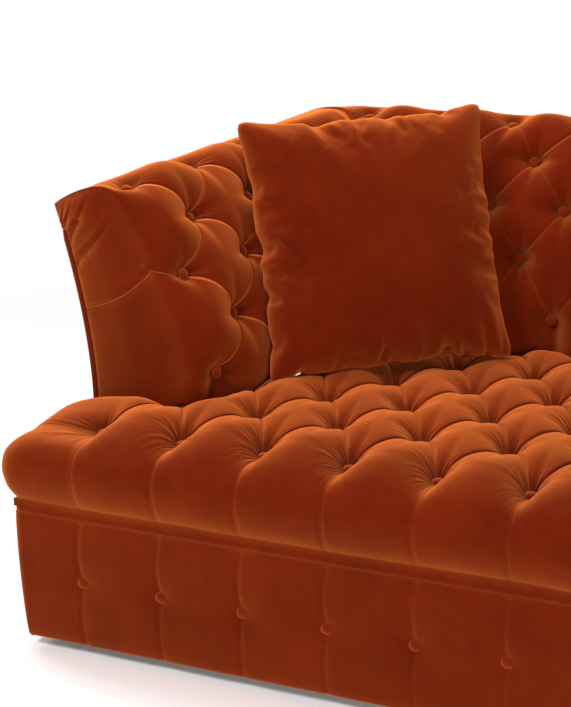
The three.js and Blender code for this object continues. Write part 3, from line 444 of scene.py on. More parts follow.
# Height of the padding between the buttons, 0 at a button and about 1 on a crest
def tuftHeight(column, row, salt, share, pitDepth):
    p, q, gapP, gapQ = slanted(column, row)
    first, second = np.abs(np.sin(np.pi * p)), np.abs(np.sin(np.pi * q))
    far = np.hypot((gapP + gapQ) / 2 * pitch, (gapP - gapQ) * rowPitch)
    pleat = share * np.maximum(first, second) ** tufting["pleatRound"]
    pleat = pleat * (1 - np.exp(-(far / tufting["bed"]) ** 2))
    uneven = 1 + tufting["uneven"] * (cellNoise(p + 0.0001, q + 0.0001, salt) - 0.6)
    pit = pitDepth * np.exp(-(far / tufting["pitWidth"]) ** 2)
    return pleat - pit + (1 - share) * uneven * (first * second) ** tufting["puffRound"]


# Sideways shift of the pleats, in columns and rows: each bows to one side between its buttons
def pleatBow(column, row, bow):
    p, q, gapP, gapQ = slanted(column, row)
    alongQ, alongP = np.abs(np.sin(np.pi * q)), np.abs(np.sin(np.pi * p))
    width, end, away = tufting["bowWidth"], tufting["bowEnd"], tufting["bowAway"]
    shiftP = bow * alongQ * np.exp(-(gapP / width) ** 2) * (alongP < end)
    shiftQ = bow * alongP * np.exp(-(gapQ / width) ** 2) * (alongQ < end)
    return away[0] * (shiftP + shiftQ) / pitch, away[1] * (shiftP - shiftQ) / rowPitch


# How strongly the cloth wrinkles, and where its painted pit shade shows: only round real buttons
def puckers(column, row, columns=(0, 11), rows=(0, 99)):
    none = 9.0
    best = np.full(np.shape(column), none)
    p, q = np.round(column + row / 2), np.round(column - row / 2)
    for stepP in (-1, 0, 1):
        for stepQ in (-1, 0, 1):
            c, r = (p + stepP + q + stepQ) / 2, p + stepP - q - stepQ
            real = (c >= columns[0]) & (c <= columns[1]) & (r >= rows[0]) & (r <= rows[1])
            far = np.hypot((column - c) * pitch, (row - r) * rowPitch)
            best = np.minimum(best, np.where(real, far, none))
    near, full, end = tufting["pucker"]
    return np.clip((best - near) / (full - near), 0, 1) * np.clip((end - best) / (end - full), 0, 1)


# Each cell is folded along the pleat that passes nearest to it
def pleatFold(columns, rows):
    midColumn = (columns[:, :-1] + columns[:, 1:])[:-1] / 2
    midRow = (rows[:-1] + rows[1:])[:, :-1] / 2
    gapP, gapQ = slanted(midColumn, midRow)[2:]
    return np.abs(gapP) > np.abs(gapQ)


# Column and row of each button of a field, every other row half a column aside
def staggered(rows):
    halves = 2 * lastColumn + 1
    return [(half / 2, row) for row in range(rows) for half in range(row % 2, halves, 2)]


print("helpers ready")


# Seat mattress

mattress = {
    "tuftDepth": 0.045, "height": 0.137, "band": 0.009, "bottom": 0.2836,
    "frontOverhang": 0.091, "sideOverhang": 0.146, "edgeSteps": 26, "lastRow": 5.4375,
    "profile": [(0, 0), (0.42, -0.03), (0.86, -0.17), (1.12, -0.40), (1.16, -0.62), (1.08, -0.84),
                (0.97, -1)],
    "drawnIn": (0.05, 0.6, 0.3),  # how much the ends are drawn in, where most, and over what reach
    "evenFrom": 0.6, "flatAtSeam": 0.9, "swell": 0.011, "softCorner": 4, "sharpCorner": 14,
    "groove": (0.07, 0.026, 0.035),  # of the pleats over the edge: depth, half width, rest of swell
    "lean": (-0.007, -0.004),  # sideways bow of those pleats half way down, and shift at the seam
    "bow": 0.004, "uneven": (0.11, 0.003),  # size and height of the slow unevenness
    "creaseDepth": 0.011, "creaseReach": 0.070, "creaseFade": 0.120, "creaseFadeInside": 0.062,
    "pleat": 0.66, "gap": 0.0003, "corner": 0.060, "clearOfWall": 0.03, "armTip": (0.03, 0.10),
}


def footX(y):
    return armTopX + (y - armFrontY) * splay + sofa["footWidth"] * sofa["faceFoot"]


backFootY = backY - sofa["backFoot"] * sofa["faceFoot"]


# How far a place on the seat is from the feet of the arms and of the back
def wallDistance(x, y):
    behind = y - armFrontY
    sideways = (-np.abs(x) - footX(y)) / math.hypot(1, splay)
    toCorner = np.hypot(sideways, behind)
    toArm = np.where((sideways > 0) & (behind < 0), toCorner, np.maximum(sideways, -behind))
    return np.minimum(np.maximum(toArm, 0), np.maximum(backFootY - y, 0))


def mattressSurface(column, row):
    m, soft, sharp = mattress, mattress["softCorner"], mattress["sharpCorner"]
    sideways = np.maximum(np.maximum(-column, column - lastColumn), 0)
    ahead = np.maximum(-row, 0)
    power = soft + (sharp - soft) * np.maximum(sideways, ahead) ** 3
    past = np.minimum((sideways ** power + ahead ** power) ** (1 / power), 1)
    safe = np.where(past > 0, past, 1)
    sideShare, frontShare = sideways / safe, ahead / safe
    out, down = np.moveaxis(curveThrough(m["profile"], past), -1, 0)
    most, where, reach = m["drawnIn"]
    out = out - most * sideShare * np.exp(-((past - where) / reach) ** 2)
    outward = np.sign(column - lastColumn / 2) * sideShare
    fieldColumn, fieldRow = np.clip(column, 0, lastColumn), np.maximum(row, 0)
    bowU, bowV = pleatBow(fieldColumn, fieldRow, m["bow"])
    toSide = np.minimum(fieldColumn, lastColumn - fieldColumn)
    inside = (past <= 0) * ease(toSide * 2) * ease(fieldRow * 2)
    lean = (4 * past * (1 - past) * m["lean"][0] + past * m["lean"][1]) * frontShare
    x = columnOneX + (fieldColumn + bowU * inside) * pitch + outward * out * m["sideOverhang"]
    y = sofa["rowOneY"] + (fieldRow + bowV * inside) * rowPitch
    y = y - frontShare * out * m["frontOverhang"]
    tuft = tuftHeight(fieldColumn, fieldRow, 1, m["pleat"], tufting["pit"]["seat"])
    across = np.where(ahead >= sideways, fieldColumn, fieldRow / 2)
    toPleat = np.abs(across - np.round(across))
    depth, width, rest = m["groove"]
    edge = 1 - depth * np.exp(-(toPleat / width) ** 2) - rest * (1 - np.sin(np.pi * toPleat))
    even = ease(past / m["evenFrom"])
    puff = tuft * (1 - even) + edge * even
    near = wallDistance(x, y)
    within = ease((y - armFrontY + m["armTip"][0]) / m["armTip"][1])
    crease = m["creaseDepth"] * (1 - ease(near / m["creaseReach"])) * (1 - past) * (1 - within)
    fade = m["creaseFade"] * (1 - within) + m["creaseFadeInside"] * within
    lift = puff * m["tuftDepth"] * ease(near / fade) * (1 - past * m["flatAtSeam"])
    z = bed + down * (m["height"] - m["band"]) + lift - crease
    swell = m["swell"] * past ** 0.6 * (1 - past ** 8) * (1 - 4 * (1 - edge))
    return np.stack([x + lean + outward * swell, y - frontShare * swell, z], -1)


# Lines of the grid: fine steps over the edge, then even ones over the field
def edgeLines(last, step, both):
    edge = np.arange(1, mattress["edgeSteps"] + 1) / mattress["edgeSteps"]
    lines = [-edge[::-1], np.arange(0, last + step / 2, step)]
    return np.concatenate(lines + [last + edge] * both)


def makeMattress(finish):
    columns, rows = np.meshgrid(edgeLines(lastColumn, 1 / sofa["fine"], True),
                                edgeLines(mattress["lastRow"], 2 / sofa["fine"], False))
    flat = mattressSurface(columns, rows).reshape(-1, 3)
    size, amount = mattress["uneven"]
    flat[:, 2] += np.array([noise.noise(Vector(p) / size) for p in flat]) * amount
    place = np.stack([columns, rows], -1).reshape(-1, 2)
    field = np.stack([np.clip(columns, 0, lastColumn), np.maximum(rows, 0)], -1).reshape(-1, 2)
    weights = {"pucker": puckers(columns, rows), "pleat": np.ones(len(flat))}
    piece = addMesh("seatMattress", flat, gridFaces(pleatFold(columns, rows)), finish,
                    {"field": field, "place": place}, weights)
    closeMattress(piece)
    return tidyMesh(piece, 0.00005)


# Plan of the arms' and the back's feet, from the left arm's front round to the right arm's
def wallPlan():
    gap, radius, steps = mattress["gap"], mattress["corner"], 12
    backLine, frontLine = backFootY - gap, armFrontY - gap
    left = [(-1.4, frontLine)]
    for k in range(steps + 1):
        turn = math.pi / 2 * k / steps
        y = frontLine + radius * (1 - math.cos(turn))
        left.append((footX(y) + gap - radius * (1 - math.sin(turn)), y))
    left.append((footX(backLine) + gap, backLine))
    return left + [(-x, y) for x, y in left[::-1]] + [(1.4, 0.9), (-1.4, 0.9)]


def closeMattress(piece):
    work = bmesh.new()
    work.from_mesh(piece.data)
    rim = [e for e in work.edges if e.is_boundary]
    made = bmesh.ops.extrude_edge_only(work, edges=rim)["geom"]
    for v in made:
        if isinstance(v, bmesh.types.BMVert):
            v.co.z = mattress["bottom"]
    below = [e for e in made if isinstance(e, bmesh.types.BMEdge) and e.is_boundary]
    bmesh.ops.holes_fill(work, edges=below)
    bmesh.ops.triangulate(work, faces=[f for f in work.faces if len(f.verts) > 4])
    work.to_mesh(piece.data)
    work.free()
    tidyMesh(piece)
    carve(piece, [[(x, y, z) for x, y in wallPlan()] for z in (0, 1.2)])


# Walls: arms and back share one buttoned section

wall = {
    "tuftDepth": 0.040, "pleat": {"arm": 0.78, "back": 0.87}, "rows": 6, "perRow": 16,
    "shares": [sofa["faceFoot"], 1, 0.909, 0.778, 0.614, 0.405, 0],
    "armHeights": [0.003, 0.058, 0.145, 0.240, 0.322, 0.392, 0.368],
    "backHeights": [0.003, 0.096, 0.214, 0.313, 0.403, 0.466, 0.472],
    "flare": 0.076, "flareDrop": 0.020, "flarePower": 1.75, "firstTuft": 0.040, "frontRound": 0.060,
    "rollDepth": 0.048, "frame": 0.0536, "panel": 0.0086, "frontPadding": 0.020, "bottom": 0.2923,
    "clear": 0.0003, "pastMitre": 0.06, "mitreButton": 0.02,  # no button is nearer to a mitre
    "edgeFade": 1.15, "footFade": 0.34,  # how soon the puffs flatten at the outer edge and the foot
    "rollShare": 0.80, "rollFrom": (4.2, 0.6), "outerFrom": (5.02, 0.42),  # rows: start and reach
    "frontShare": 0.8, "frontDip": (0.45, 3.2, 1.4, 6.2, 1.2),  # of the plain front, round the roll
    "cornerShare": 0.55, "cornerReach": 0.050,
    "rearRows": [0, 1, 3, 4.6, 4.7, 5.4, 6],  # rows of the face that meet parts of the rear line
    "rearShares": [0, 0.3, 0.66, 1, 0, 0.45, 1],  # of its part below and then above the frame's top
}
wallSteps = wall["rows"] * wall["perRow"] + 1


def startingAt(q, start, reach):
    return ease((q - start) / reach)


def outerFace(z, top):
    share = np.clip((z + wall["flareDrop"]) / (top + wall["flareDrop"]), 0, 1)
    return wall["flare"] * (1 - share ** wall["flarePower"])


def wallFade(q):
    top = np.clip(wall["rows"] - q, 0, 1) ** wall["edgeFade"]
    return np.minimum(np.clip(q, 0, 1) ** wall["footFade"], top)


# Key points of the section, 0 for the arm's front and 1 for the back
def wallKeys(along):
    heights = np.array(wall["armHeights"]) * (1 - along) + np.array(wall["backHeights"]) * along
    return np.stack([np.array(wall["shares"]) * sofa["footWidth"], heights], -1)


# The buttoned face at one place along the wall, from its foot over the roll to the outer edge
def wallFace(along, column, kind, inset, plain, bow, salt, toMitre):
    squeeze = {"arm": 1, "back": backSqueeze}[kind]
    q = np.linspace(0, wall["rows"], wallSteps)
    row = np.clip(q - 1, 0, wall["rows"] - 2)
    column = np.full_like(q, column)
    bowU, bowV = pleatBow(column, row, bow)
    keys = wallKeys(along)
    t = (q + bowV * ease(q) * ease(wall["rows"] - q)) / wall["rows"]
    across, height = curveThrough(keys, t).T
    ahead, behind = np.clip(t + 0.004, 0, 1), np.clip(t - 0.004, 0, 1)
    tangent = curveThrough(keys, ahead) - curveThrough(keys, behind)
    tangent[:, 0] *= squeeze
    tangent /= np.linalg.norm(tangent, axis=1)[:, None]
    across = across * squeeze
    dip, start, reach, end, fall = wall["frontDip"]
    dip = dip * startingAt(q, start, reach) * ease((end - q) / fall)
    plainShare = wall["frontShare"] * (1 - dip)
    onRoll = startingAt(q, *wall["rollFrom"])
    pits = tufting["pit"]["wall"] * (1 - onRoll) + tufting["pit"]["rollTop"] * onRoll
    tufts = tuftHeight(column, row, salt, wall["pleat"][kind], pits)
    outward = startingAt(q, *wall["outerFrom"])
    tufts = tufts * (1 - outward) + wall["rollShare"] * outward
    corner = ease(1 - np.abs(toMitre(across)) / wall["cornerReach"])
    tufts = tufts * (1 - corner) + wall["cornerShare"] * corner
    lift = wallFade(q) * wall["tuftDepth"] * (tufts * (1 - plain) + plain * plainShare)
    across = np.maximum(across - inset * np.minimum(1, 2 * (1 - q / wall["rows"])), 0)
    face = np.stack([across + tangent[:, 1] * lift, height - tangent[:, 0] * lift], -1)
    return face, keys[-1, 1], bowU * (1 - corner)


# The hidden side of the padding, from its outer edge down the outer face, in over the rail and down
def wallRear(edge, squeeze, offset):
    rows, shares = wall["rearRows"], wall["rearShares"]
    q = np.linspace(wall["rows"], 0, wallSteps)
    rollEnd = edge - wall["rollDepth"] + wall["clear"]
    bottom = wall["bottom"] - bed
    split = (rows[3] + rows[4]) / 2
    low = bottom + (rollEnd - bottom) * np.interp(q, rows[:4], shares[:4])
    high = rollEnd + (edge - rollEnd) * np.interp(q, rows[4:], shares[4:])
    heights = np.where(q < split, low, high)
    across = outerFace(heights, edge) * squeeze + np.where(q < split, offset, 0)
    return np.stack([across, heights], -1)


def armStations():
    near = [wall["frontRound"] * s for s in (0, 0.012, 0.04, 0.09, 0.16, 0.24)]
    near += [wall["frontPadding"] - 0.0001, wall["frontPadding"] + 0.0001]
    near += list(np.linspace(0.024, wall["firstTuft"], 5)[:-1])
    field = np.arange(wall["firstTuft"], armLength + wall["pastMitre"], pitch / sofa["fine"])
    return sorted(near) + list(field)


def frontInset(distance):
    turn = np.maximum(wall["frontRound"] - distance, 0) / wall["frontRound"]
    return wall["frontRound"] * (1 - np.sqrt(1 - turn * turn))


def placeArm(distance, section):
    x = armTopX + distance * splay + section[:, 0]
    y = np.full(len(section), armFrontY) + distance
    return np.stack([x, y, section[:, 1] + bed], -1)


# Corners, UV places and weights of one buttoned wall, gathered station by station
class WallRings:
    def __init__(self):
        self.q = np.linspace(0, wall["rows"], wallSteps)
        self.row = np.clip(self.q - 1, 0, wall["rows"] - 2)
        self.gathered, self.columns = {}, []

    def add(self, column, face, rear, columns, lined=1):
        q, none = self.q, np.zeros_like(self.q)
        held = none + max(column, columns[0] - 0.5)
        within = none + max(column, columns[0])
        beyond = np.stack([held, none + wall["rows"] + 9], -1)
        pucker = puckers(none + column, q - 1, columns, (0, wall["rows"] - 2))
        self.columns.append(within)
        for name, near, far in (
                ("rings", face, rear),
                ("place", np.stack([held, q - 1], -1), beyond),
                ("field", np.stack([within, self.row], -1), beyond),
                ("front", np.stack([none + 0.3, q], -1), np.stack([none + 0.3, none - 9], -1)),
                ("pucker", pucker * 0.4, none),
                # pleat: how strongly the painted highlight of the pleat lines and their lip bump
                # show; frontal: where the front's folds, with their painted shade and highlight,
                # show
                ("pleat", lined * ease(wall["rows"] - 0.3 - q), none),
                ("frontal", none + (1 - lined) ** 0.5 * (column <= 0), none)):
            self.gathered.setdefault(name, []).append(np.concatenate([near, far]))

    def faces(self):
        count, long = 2 * wallSteps, len(self.columns)
        folds = np.zeros((long - 1, count - 1), bool)
        folds[:, :wallSteps - 1] = pleatFold(np.array(self.columns), np.tile(self.q - 1, (long, 1)))
        bottom = [(a + count - 1, a, a + count, a + 2 * count - 1)
                  for a in range(0, (long - 1) * count, count)]
        return gridFaces(folds) + bottom

    def flat(self, names, more=None):
        more = more or {}
        return {name: np.concatenate(self.gathered[name] + more.get(name, [])) for name in names}


def makeArmPad(finish):
    gathered = WallRings()
    q = gathered.q
    for distance in armStations():
        column = (distance - wall["firstTuft"]) / pitch
        plain = min(max((wall["firstTuft"] - distance) / wall["firstTuft"], 0), 1)
        face, edge, bowU = wallFace(
            distance / armLength, max(column, 0), "arm", frontInset(distance), plain, 0.010, 3,
            lambda w: mitreDepth(armTopX + distance * splay + w, armFrontY + distance))
        offset = wall["panel"] if distance < wall["frontPadding"] else wall["frame"] + wall["clear"]
        front, rear = placeArm(distance, face), placeArm(distance, wallRear(edge, 1, offset))
        if distance > wall["firstTuft"]:
            front[:, 1] += bowU * pitch * ease(q) * ease(wall["rows"] - q)
        gathered.add(column, front, rear, (0, 99), 1 - plain)
    piece = addMesh("leftArmPad", *addArmFront(gathered, finish))
    tidyMesh(piece)
    carveBeyond(piece, *mitrePlane())
    return piece


# The plain front: folds fan out from the outer edge, and the pleats of two buttons run across it
armFront = {
    "steps": 40, "spread": 0.9, "bulge": 0.011, "bulgeFull": 0.6, "bulgeWidth": 0.1,
    "width": 0.062, "bow": -0.15, "ridge": (2.2, 1.5), "fade": 0.7,
    "edge": (0.006, 0.3),  # how far in a fold is whole, and its share at the edge
    "narrow": (0.02, 0.03),  # width of the front where folds begin, and reach to whole ones
    "line": 0.012, "lineFade": 1.3, "lineStart": 90,
    "aside": (-0.25, 0.25, 0.2),  # places in the two UV maps that lie off the pleats
    "folds": [  # row at the outer edge, how steep, depth, reach from the edge
        (4.86, 30, 0.0055, 0.030), (4.66, 17, 0.0075, 0.050), (4.36, 10, 0.0085, 0.085),
        (3.90, 5.2, 0.0085, 0.105), (3, 0, 0.0045, 9), (1, 0, 0.0025, 9)],
}


# Masks of the folds on the arm's front: the fan folds carry painted shade and the seam folds carry
# the painted highlight of the pleat lines; both also sink the bump
def frontFolds(board):
    fromEdge, row = board.map("front")
    shown = board.weight("frontal")
    fan = seam = shown * 0
    full = armFront["lineFade"]
    for start, slope, depth, reach in armFront["folds"]:
        off = abs(row - start - fromEdge * slope)
        mark = (1 - off / armFront["line"]).held() * (full - fromEdge * (full / reach)).held()
        if slope:
            fan = fan.most(mark)
        elif start > 1:
            seam = seam.most(mark)
    near = shown * (fromEdge * armFront["lineStart"]).held()
    return fan * near, seam * near


def addArmFront(gathered, finish):
    look, count, q, steps = armFront, wallSteps, gathered.q, armFront["steps"]
    ring = gathered.gathered["rings"][0]
    inner, outer = ring[:count], ring[count:][::-1]
    width = np.linalg.norm(outer - inner, axis=1)
    none, (aside, fieldU, fieldV) = np.zeros(count), look["aside"]
    (whole, atEdge), (thin, widening) = look["edge"], look["narrow"]
    more = {name: [] for name in ("rings", "place", "field", "front", "pucker", "pleat", "frontal")}
    for k in range(1, steps):
        share = (k / steps) ** look["spread"]
        bulge = look["bulge"] * ease(share / look["bulgeFull"]) * np.sqrt(1 - share ** 4)
        fromEdge = width * (1 - share)
        bowed = q - look["bow"] * math.sin(math.pi * share)
        sunk = np.zeros(count)
        for start, slope, depth, reach in look["folds"]:
            fade = np.clip(1 - fromEdge / reach, 0, 1) ** look["fade"]
            fade = fade * np.clip(fromEdge / whole, atEdge, 1)
            off = (bowed - start - slope * fromEdge) / look["width"]
            sunk += depth * fade * furrow(off, *look["ridge"])
        row = inner * (1 - share) + outer * share
        sunk = sunk * np.clip((width - thin) / widening, 0, 1)
        row[:, 1] -= bulge * np.minimum(width / look["bulgeWidth"], 1) - sunk
        column = -width * share / pitch + aside
        pucker = puckers(column, q - 1, (0, 99), (0, wall["rows"] - 2))
        for name, values in (
                ("rings", row), ("place", np.stack([column, q - 1], -1)),
                ("field", np.stack([none + fieldU, none + fieldV], -1)),
                ("front", np.stack([fromEdge, bowed], -1)),
                ("pucker", pucker), ("pleat", none), ("frontal", none + 1)):
            more[name].append(values)
    start = 2 * count * len(gathered.columns)
    between = [range(a, a + count) for a in range(start, start + (steps - 1) * count, count)]
    rows = [range(count), *between, range(2 * count - 1, count - 1, -1)]
    faces = gathered.faces() + [tuple(row[0] for row in rows)]
    for one, two in zip(rows, rows[1:]):
        faces += [(one[j], two[j], two[j + 1], one[j + 1]) for j in range(count - 1)]
    corners = gathered.flat(["rings"], more)["rings"]
    maps = gathered.flat(["field", "place", "front"], more)
    return corners, faces, finish, maps, gathered.flat(["pucker", "pleat", "frontal"], more)


# Where an arm's padding meets the back's: a point of the plane and its normal, toward the back
def mitrePlane():
    cornerX = armTopX + armLength * splay
    innerX = cornerX + sofa["footWidth"] - sofa["backFoot"] * splay
    along = Vector((innerX - cornerX, -sofa["backFoot"], 0)).normalized()
    normal = Vector((-along.y, along.x, 0))
    return Vector((cornerX, backY, 0)) - normal * (wall["clear"] / 2), normal


def mitreDepth(x, y):
    point, normal = mitrePlane()
    return (x - point.x) * normal.x + (y - point.y) * normal.y


# Sideways drift of the back's buttons, row by row
backDrift = [-0.008, -0.010, -0.007, -0.006, 0.0, 0.020, 0.020]


def driftAt(q):
    return curveThrough([[d] for d in backDrift], q / wall["rows"])[:, 0]


def cutBothMitres(piece):
    point, normal = mitrePlane()
    point = point + normal * wall["clear"]
    for side in (1, -1):
        away = Vector((-normal.x * side, -normal.y, 0))
        carveBeyond(piece, Vector((point.x * side, point.y, 0)), away)
    return piece


def placeBack(x, section):
    return np.stack([np.zeros(len(section)) + x, backY - section[:, 0], section[:, 1] + bed], -1)


def makeBackPad(finish):
    step = 1 / sofa["fine"]
    gathered = WallRings()
    q = gathered.q
    drift = driftAt(q)
    for column in np.arange(-0.5, lastColumn + 0.5 + step / 2, step):
        x = columnOneX + column * pitch
        face, edge, bowU = wallFace(
            1, column, "back", 0, 0, 0.008, 7, lambda w: mitreDepth(-np.abs(x + drift), backY - w))
        shift = drift + bowU * pitch * ease(q) * ease(wall["rows"] - q)
        rear = wallRear(edge, backSqueeze, wall["frame"] + wall["clear"])
        gathered.add(column, placeBack(x + shift, face), placeBack(x, rear), (-1, 12), 0.45)
    piece = addMesh("backPad", gathered.flat(["rings"])["rings"], gathered.faces(), finish,
                    gathered.flat(["field", "place"]), gathered.flat(["pucker", "pleat"]))
    return cutBothMitres(tidyMesh(piece))


def mirrorPiece(piece, name):
    data = piece.data.copy()
    data.name = name
    data.transform(Matrix.Scale(-1, 4, (1, 0, 0)))
    data.flip_normals()
    return tidyMesh(addObject(name, data))


# Outer panels, which stand from the platform up to the frame's top rail

outside = {"thickness": 0.008, "bottom": 0.2840, "puff": 0.0016, "round": 0.003, "levels": 26,
           "front": [-0.004, -0.0032, -0.002, 0], "rings": 60, "backHalf": 0.93, "backRings": 90}


def panelSection(along, squeeze):
    edge = wallKeys(along)[-1, 1]
    bottom, top = outside["bottom"] - bed, edge - wall["rollDepth"]
    share = np.linspace(0, 1, outside["levels"])
    z = bottom + (top - bottom) * share
    rim = np.clip(1 - np.minimum(z - bottom, top - z) / outside["round"], 0, 1)
    rounded = outside["round"] * (1 - np.sqrt(1 - rim ** 2))
    face = outerFace(z, edge) * squeeze
    out = np.stack([face + rounded - outside["puff"] * np.sin(np.pi * share) ** 0.4, z], -1)
    back = np.stack([face + outside["thickness"], z], -1)[::-1]
    return np.concatenate([out, back])


def makeOutsideArm(finish):
    start = outside["front"]
    onward = np.linspace(0.012, armLength + wall["pastMitre"], outside["rings"])
    rings = []
    for distance in start + list(onward):
        section = panelSection(distance / armLength, 1)
        turn = max(outside["round"] + start[0] - distance, 0) / outside["round"]
        section[:outside["levels"], 0] += outside["round"] * (1 - math.sqrt(1 - turn * turn))
        rings.append(placeArm(distance, section))
    piece = addLoft("leftOutsideArm", rings, finish)
    carveBeyond(piece, *mitrePlane())
    return piece


def makeOutsideBack(finish):
    xs = np.linspace(-outside["backHalf"], outside["backHalf"], outside["backRings"])
    section = panelSection(1, backSqueeze)
    return cutBothMitres(addLoft("outsideBack", [placeBack(x, section) for x in xs], finish))


# Base

base = {
    "top": 0.2730, "bottom": 0.020, "taper": 0.015, "thickness": 0.023, "corner": 0.018, "rows": 44,
    "overhang": 0.065, "swell": 0.005, "rollIn": 0.010, "tuck": 0.0025, "reliefFrom": 0.02,
    "cornerMost": 0.96,  # share of the corner's radius that the profile may draw in
    "buttonHeight": 0.151, "buttonShift": -0.007, "seamShift": -0.004,
    "groove": 0.0024, "grooveWidth": 0.0036, "channel": 0.0022,
    "dimple": 0.0065, "dimpleWidth": 0.026, "bowAbove": -0.008, "bowBelow": -0.004,
}
baseSpan = base["top"] - base["bottom"]


# Corners of the platform's outline, drawn in by a distance
def platformCorners(inset):
    leftX, frontY = sofa["seamLeftX"], sofa["seamFrontY"]
    overhang = base["overhang"] * backSqueeze
    rearX = armTopX + base["overhang"] + armLength * splay - overhang * splay
    points = [Vector(p) for p in (
        (leftX, frontY), (-leftX, frontY), (-leftX, armFrontY),
        (-rearX, backY - overhang), (rearX, backY - overhang), (leftX, armFrontY))]
    moved = []
    for i, point in enumerate(points):
        into = (point - points[i - 1]).normalized()
        away = (points[(i + 1) % 6] - point).normalized()
        one, two = Vector((-into.y, into.x)), Vector((-away.y, away.x))
        moved.append(point + (one + two) * (inset / (1 + one.dot(two))))
    return moved


# Places round the platform: point, outward normal, edge number, and how far along the edge
def platformPath(radius, frontStep, sideStep):
    corners = platformCorners(0)
    sides = [corners[(i + 1) % 6] - corners[i] for i in range(6)]
    turns = [sides[i - 1].angle(sides[i]) for i in range(6)]
    path = []
    for i, point in enumerate(corners):
        into, away = sides[i - 1].normalized(), sides[i].normalized()
        cut = radius * math.tan(turns[i] / 2)
        normal = Vector((into.y, -into.x))
        centre = point - into * cut - normal * radius
        arc = 7 if turns[i] > 0.5 else 3
        for k in range(arc):
            out = Matrix.Rotation(turns[i] * k / (arc - 1), 2) @ normal
            path.append((centre + out * radius, out, i, None))
        length = sides[i].length - cut - radius * math.tan(turns[(i + 1) % 6] / 2)
        start = point + away * cut
        steps = max(int(length / (frontStep if i == 0 else sideStep)), 1)
        for k in range(1, steps):
            spot = start + away * (length * k / steps)
            path.append((spot, Vector((away.y, -away.x)), i, (point, away)))
    return path


def innerPlace(spot, corners, inset):
    point, out, i, along = spot
    if along is None:
        return corners[i]
    start, away = along
    last = (corners[(i + 1) % 6] - start).dot(away)
    reach = min(max((point - start).dot(away), (corners[i] - start).dot(away)), last)
    return start + away * reach - out * inset


# How far the front's cover sinks: pleats that bow from the seam to the buttons and on down
def frontRelief(x, z):
    b, middle = base, base["buttonHeight"]
    above = np.clip((z - middle) / (b["top"] - middle), 0, 1)
    below = np.clip((middle - z) / (middle - b["bottom"]), 0, 1)
    shift = b["buttonShift"] + (b["seamShift"] - b["buttonShift"]) * above
    shift = shift + 4 * b["bowAbove"] * above * (1 - above)
    shift = shift + 4 * b["bowBelow"] * below * (1 - below)
    column = (x - shift - columnOneX) / pitch
    nearest = np.clip(np.round(column), 0, lastColumn)
    away = np.abs(column - nearest) * pitch
    wide = np.clip(away / (pitch / 2), 0, 1)
    sunk = b["groove"] * np.exp(-(away / b["grooveWidth"]) ** 2)
    sunk = (sunk + b["channel"] * (1 - np.sin(np.pi / 2 * wide) ** 0.6)) * (1 - 0.45 * below)
    far = np.hypot(x - (columnOneX + nearest * pitch + b["buttonShift"]), z - middle)
    return sunk + b["dimple"] * np.exp(-(far / b["dimpleWidth"]) ** 1.3)


def makeBase(finish):
    inner = base["taper"] + base["thickness"]
    high, low = platformCorners(base["thickness"]), platformCorners(inner)
    drop = np.concatenate([[0, 0.004], np.linspace(0, 1, base["rows"])[1:-4]])
    turn = np.linspace(0, math.pi / 2, 7)[1:]
    z = base["top"] - drop * baseSpan
    z = z[z > base["bottom"] + base["rollIn"] + 0.001]
    upright = len(z)
    z = np.concatenate([z, base["bottom"] + base["rollIn"] * (1 - np.sin(turn))])
    share = np.clip((base["top"] - z) / baseSpan, 0, 1)
    profile = base["taper"] * share - base["swell"] * np.sin(np.pi * share) ** 0.55
    profile[upright:] += base["rollIn"] * (1 - np.cos(turn))
    profile[0] += base["tuck"]  # under the piping
    rings = []
    for spot in platformPath(base["corner"], 0.004, 0.014):
        point, out, i, along = spot
        inset = profile
        if i == 0 and along is not None:
            risen = np.clip(share / base["reliefFrom"], 0, 1)
            inset = profile + frontRelief(np.full_like(z, point.x), z) * risen
        if along is None:
            inset = np.minimum(profile, base["corner"] * base["cornerMost"])
        line = [(*(point - out * float(d)), h) for d, h in zip(inset, z)]
        line.append((*innerPlace(spot, low, inner), base["bottom"]))
        line.append((*innerPlace(spot, high, base["thickness"]), base["top"]))
        rings.append(line)
    return addLoft("baseBorder", rings, finish, True)


# Piping: a padded flat band, the rounded rectangle of its section given by half sizes
piping = {"width": 0.0046, "height": 0.0050, "centre": 0.2782, "inset": 0.0050, "corner": 0.018,
          "step": 0.02, "sides": 12, "square": 0.7}


def makePiping(finish):
    angles = 2 * np.pi * (np.arange(piping["sides"]) + 0.5) / piping["sides"]
    c, s = (np.sign(v) * np.abs(v) ** piping["square"] for v in (np.cos(angles), np.sin(angles)))
    across, heights = c * piping["width"] - piping["inset"], piping["centre"] + s * piping["height"]
    rings = []
    for point, out, i, along in platformPath(piping["corner"], piping["step"], piping["step"]):
        rings.append([(*(point + out * float(w)), z) for w, z in zip(across, heights)])
    return addLoft("seamBand", rings, finish, True)


# Balls by Geometry Nodes: one on each point of a mesh, turned to face its way

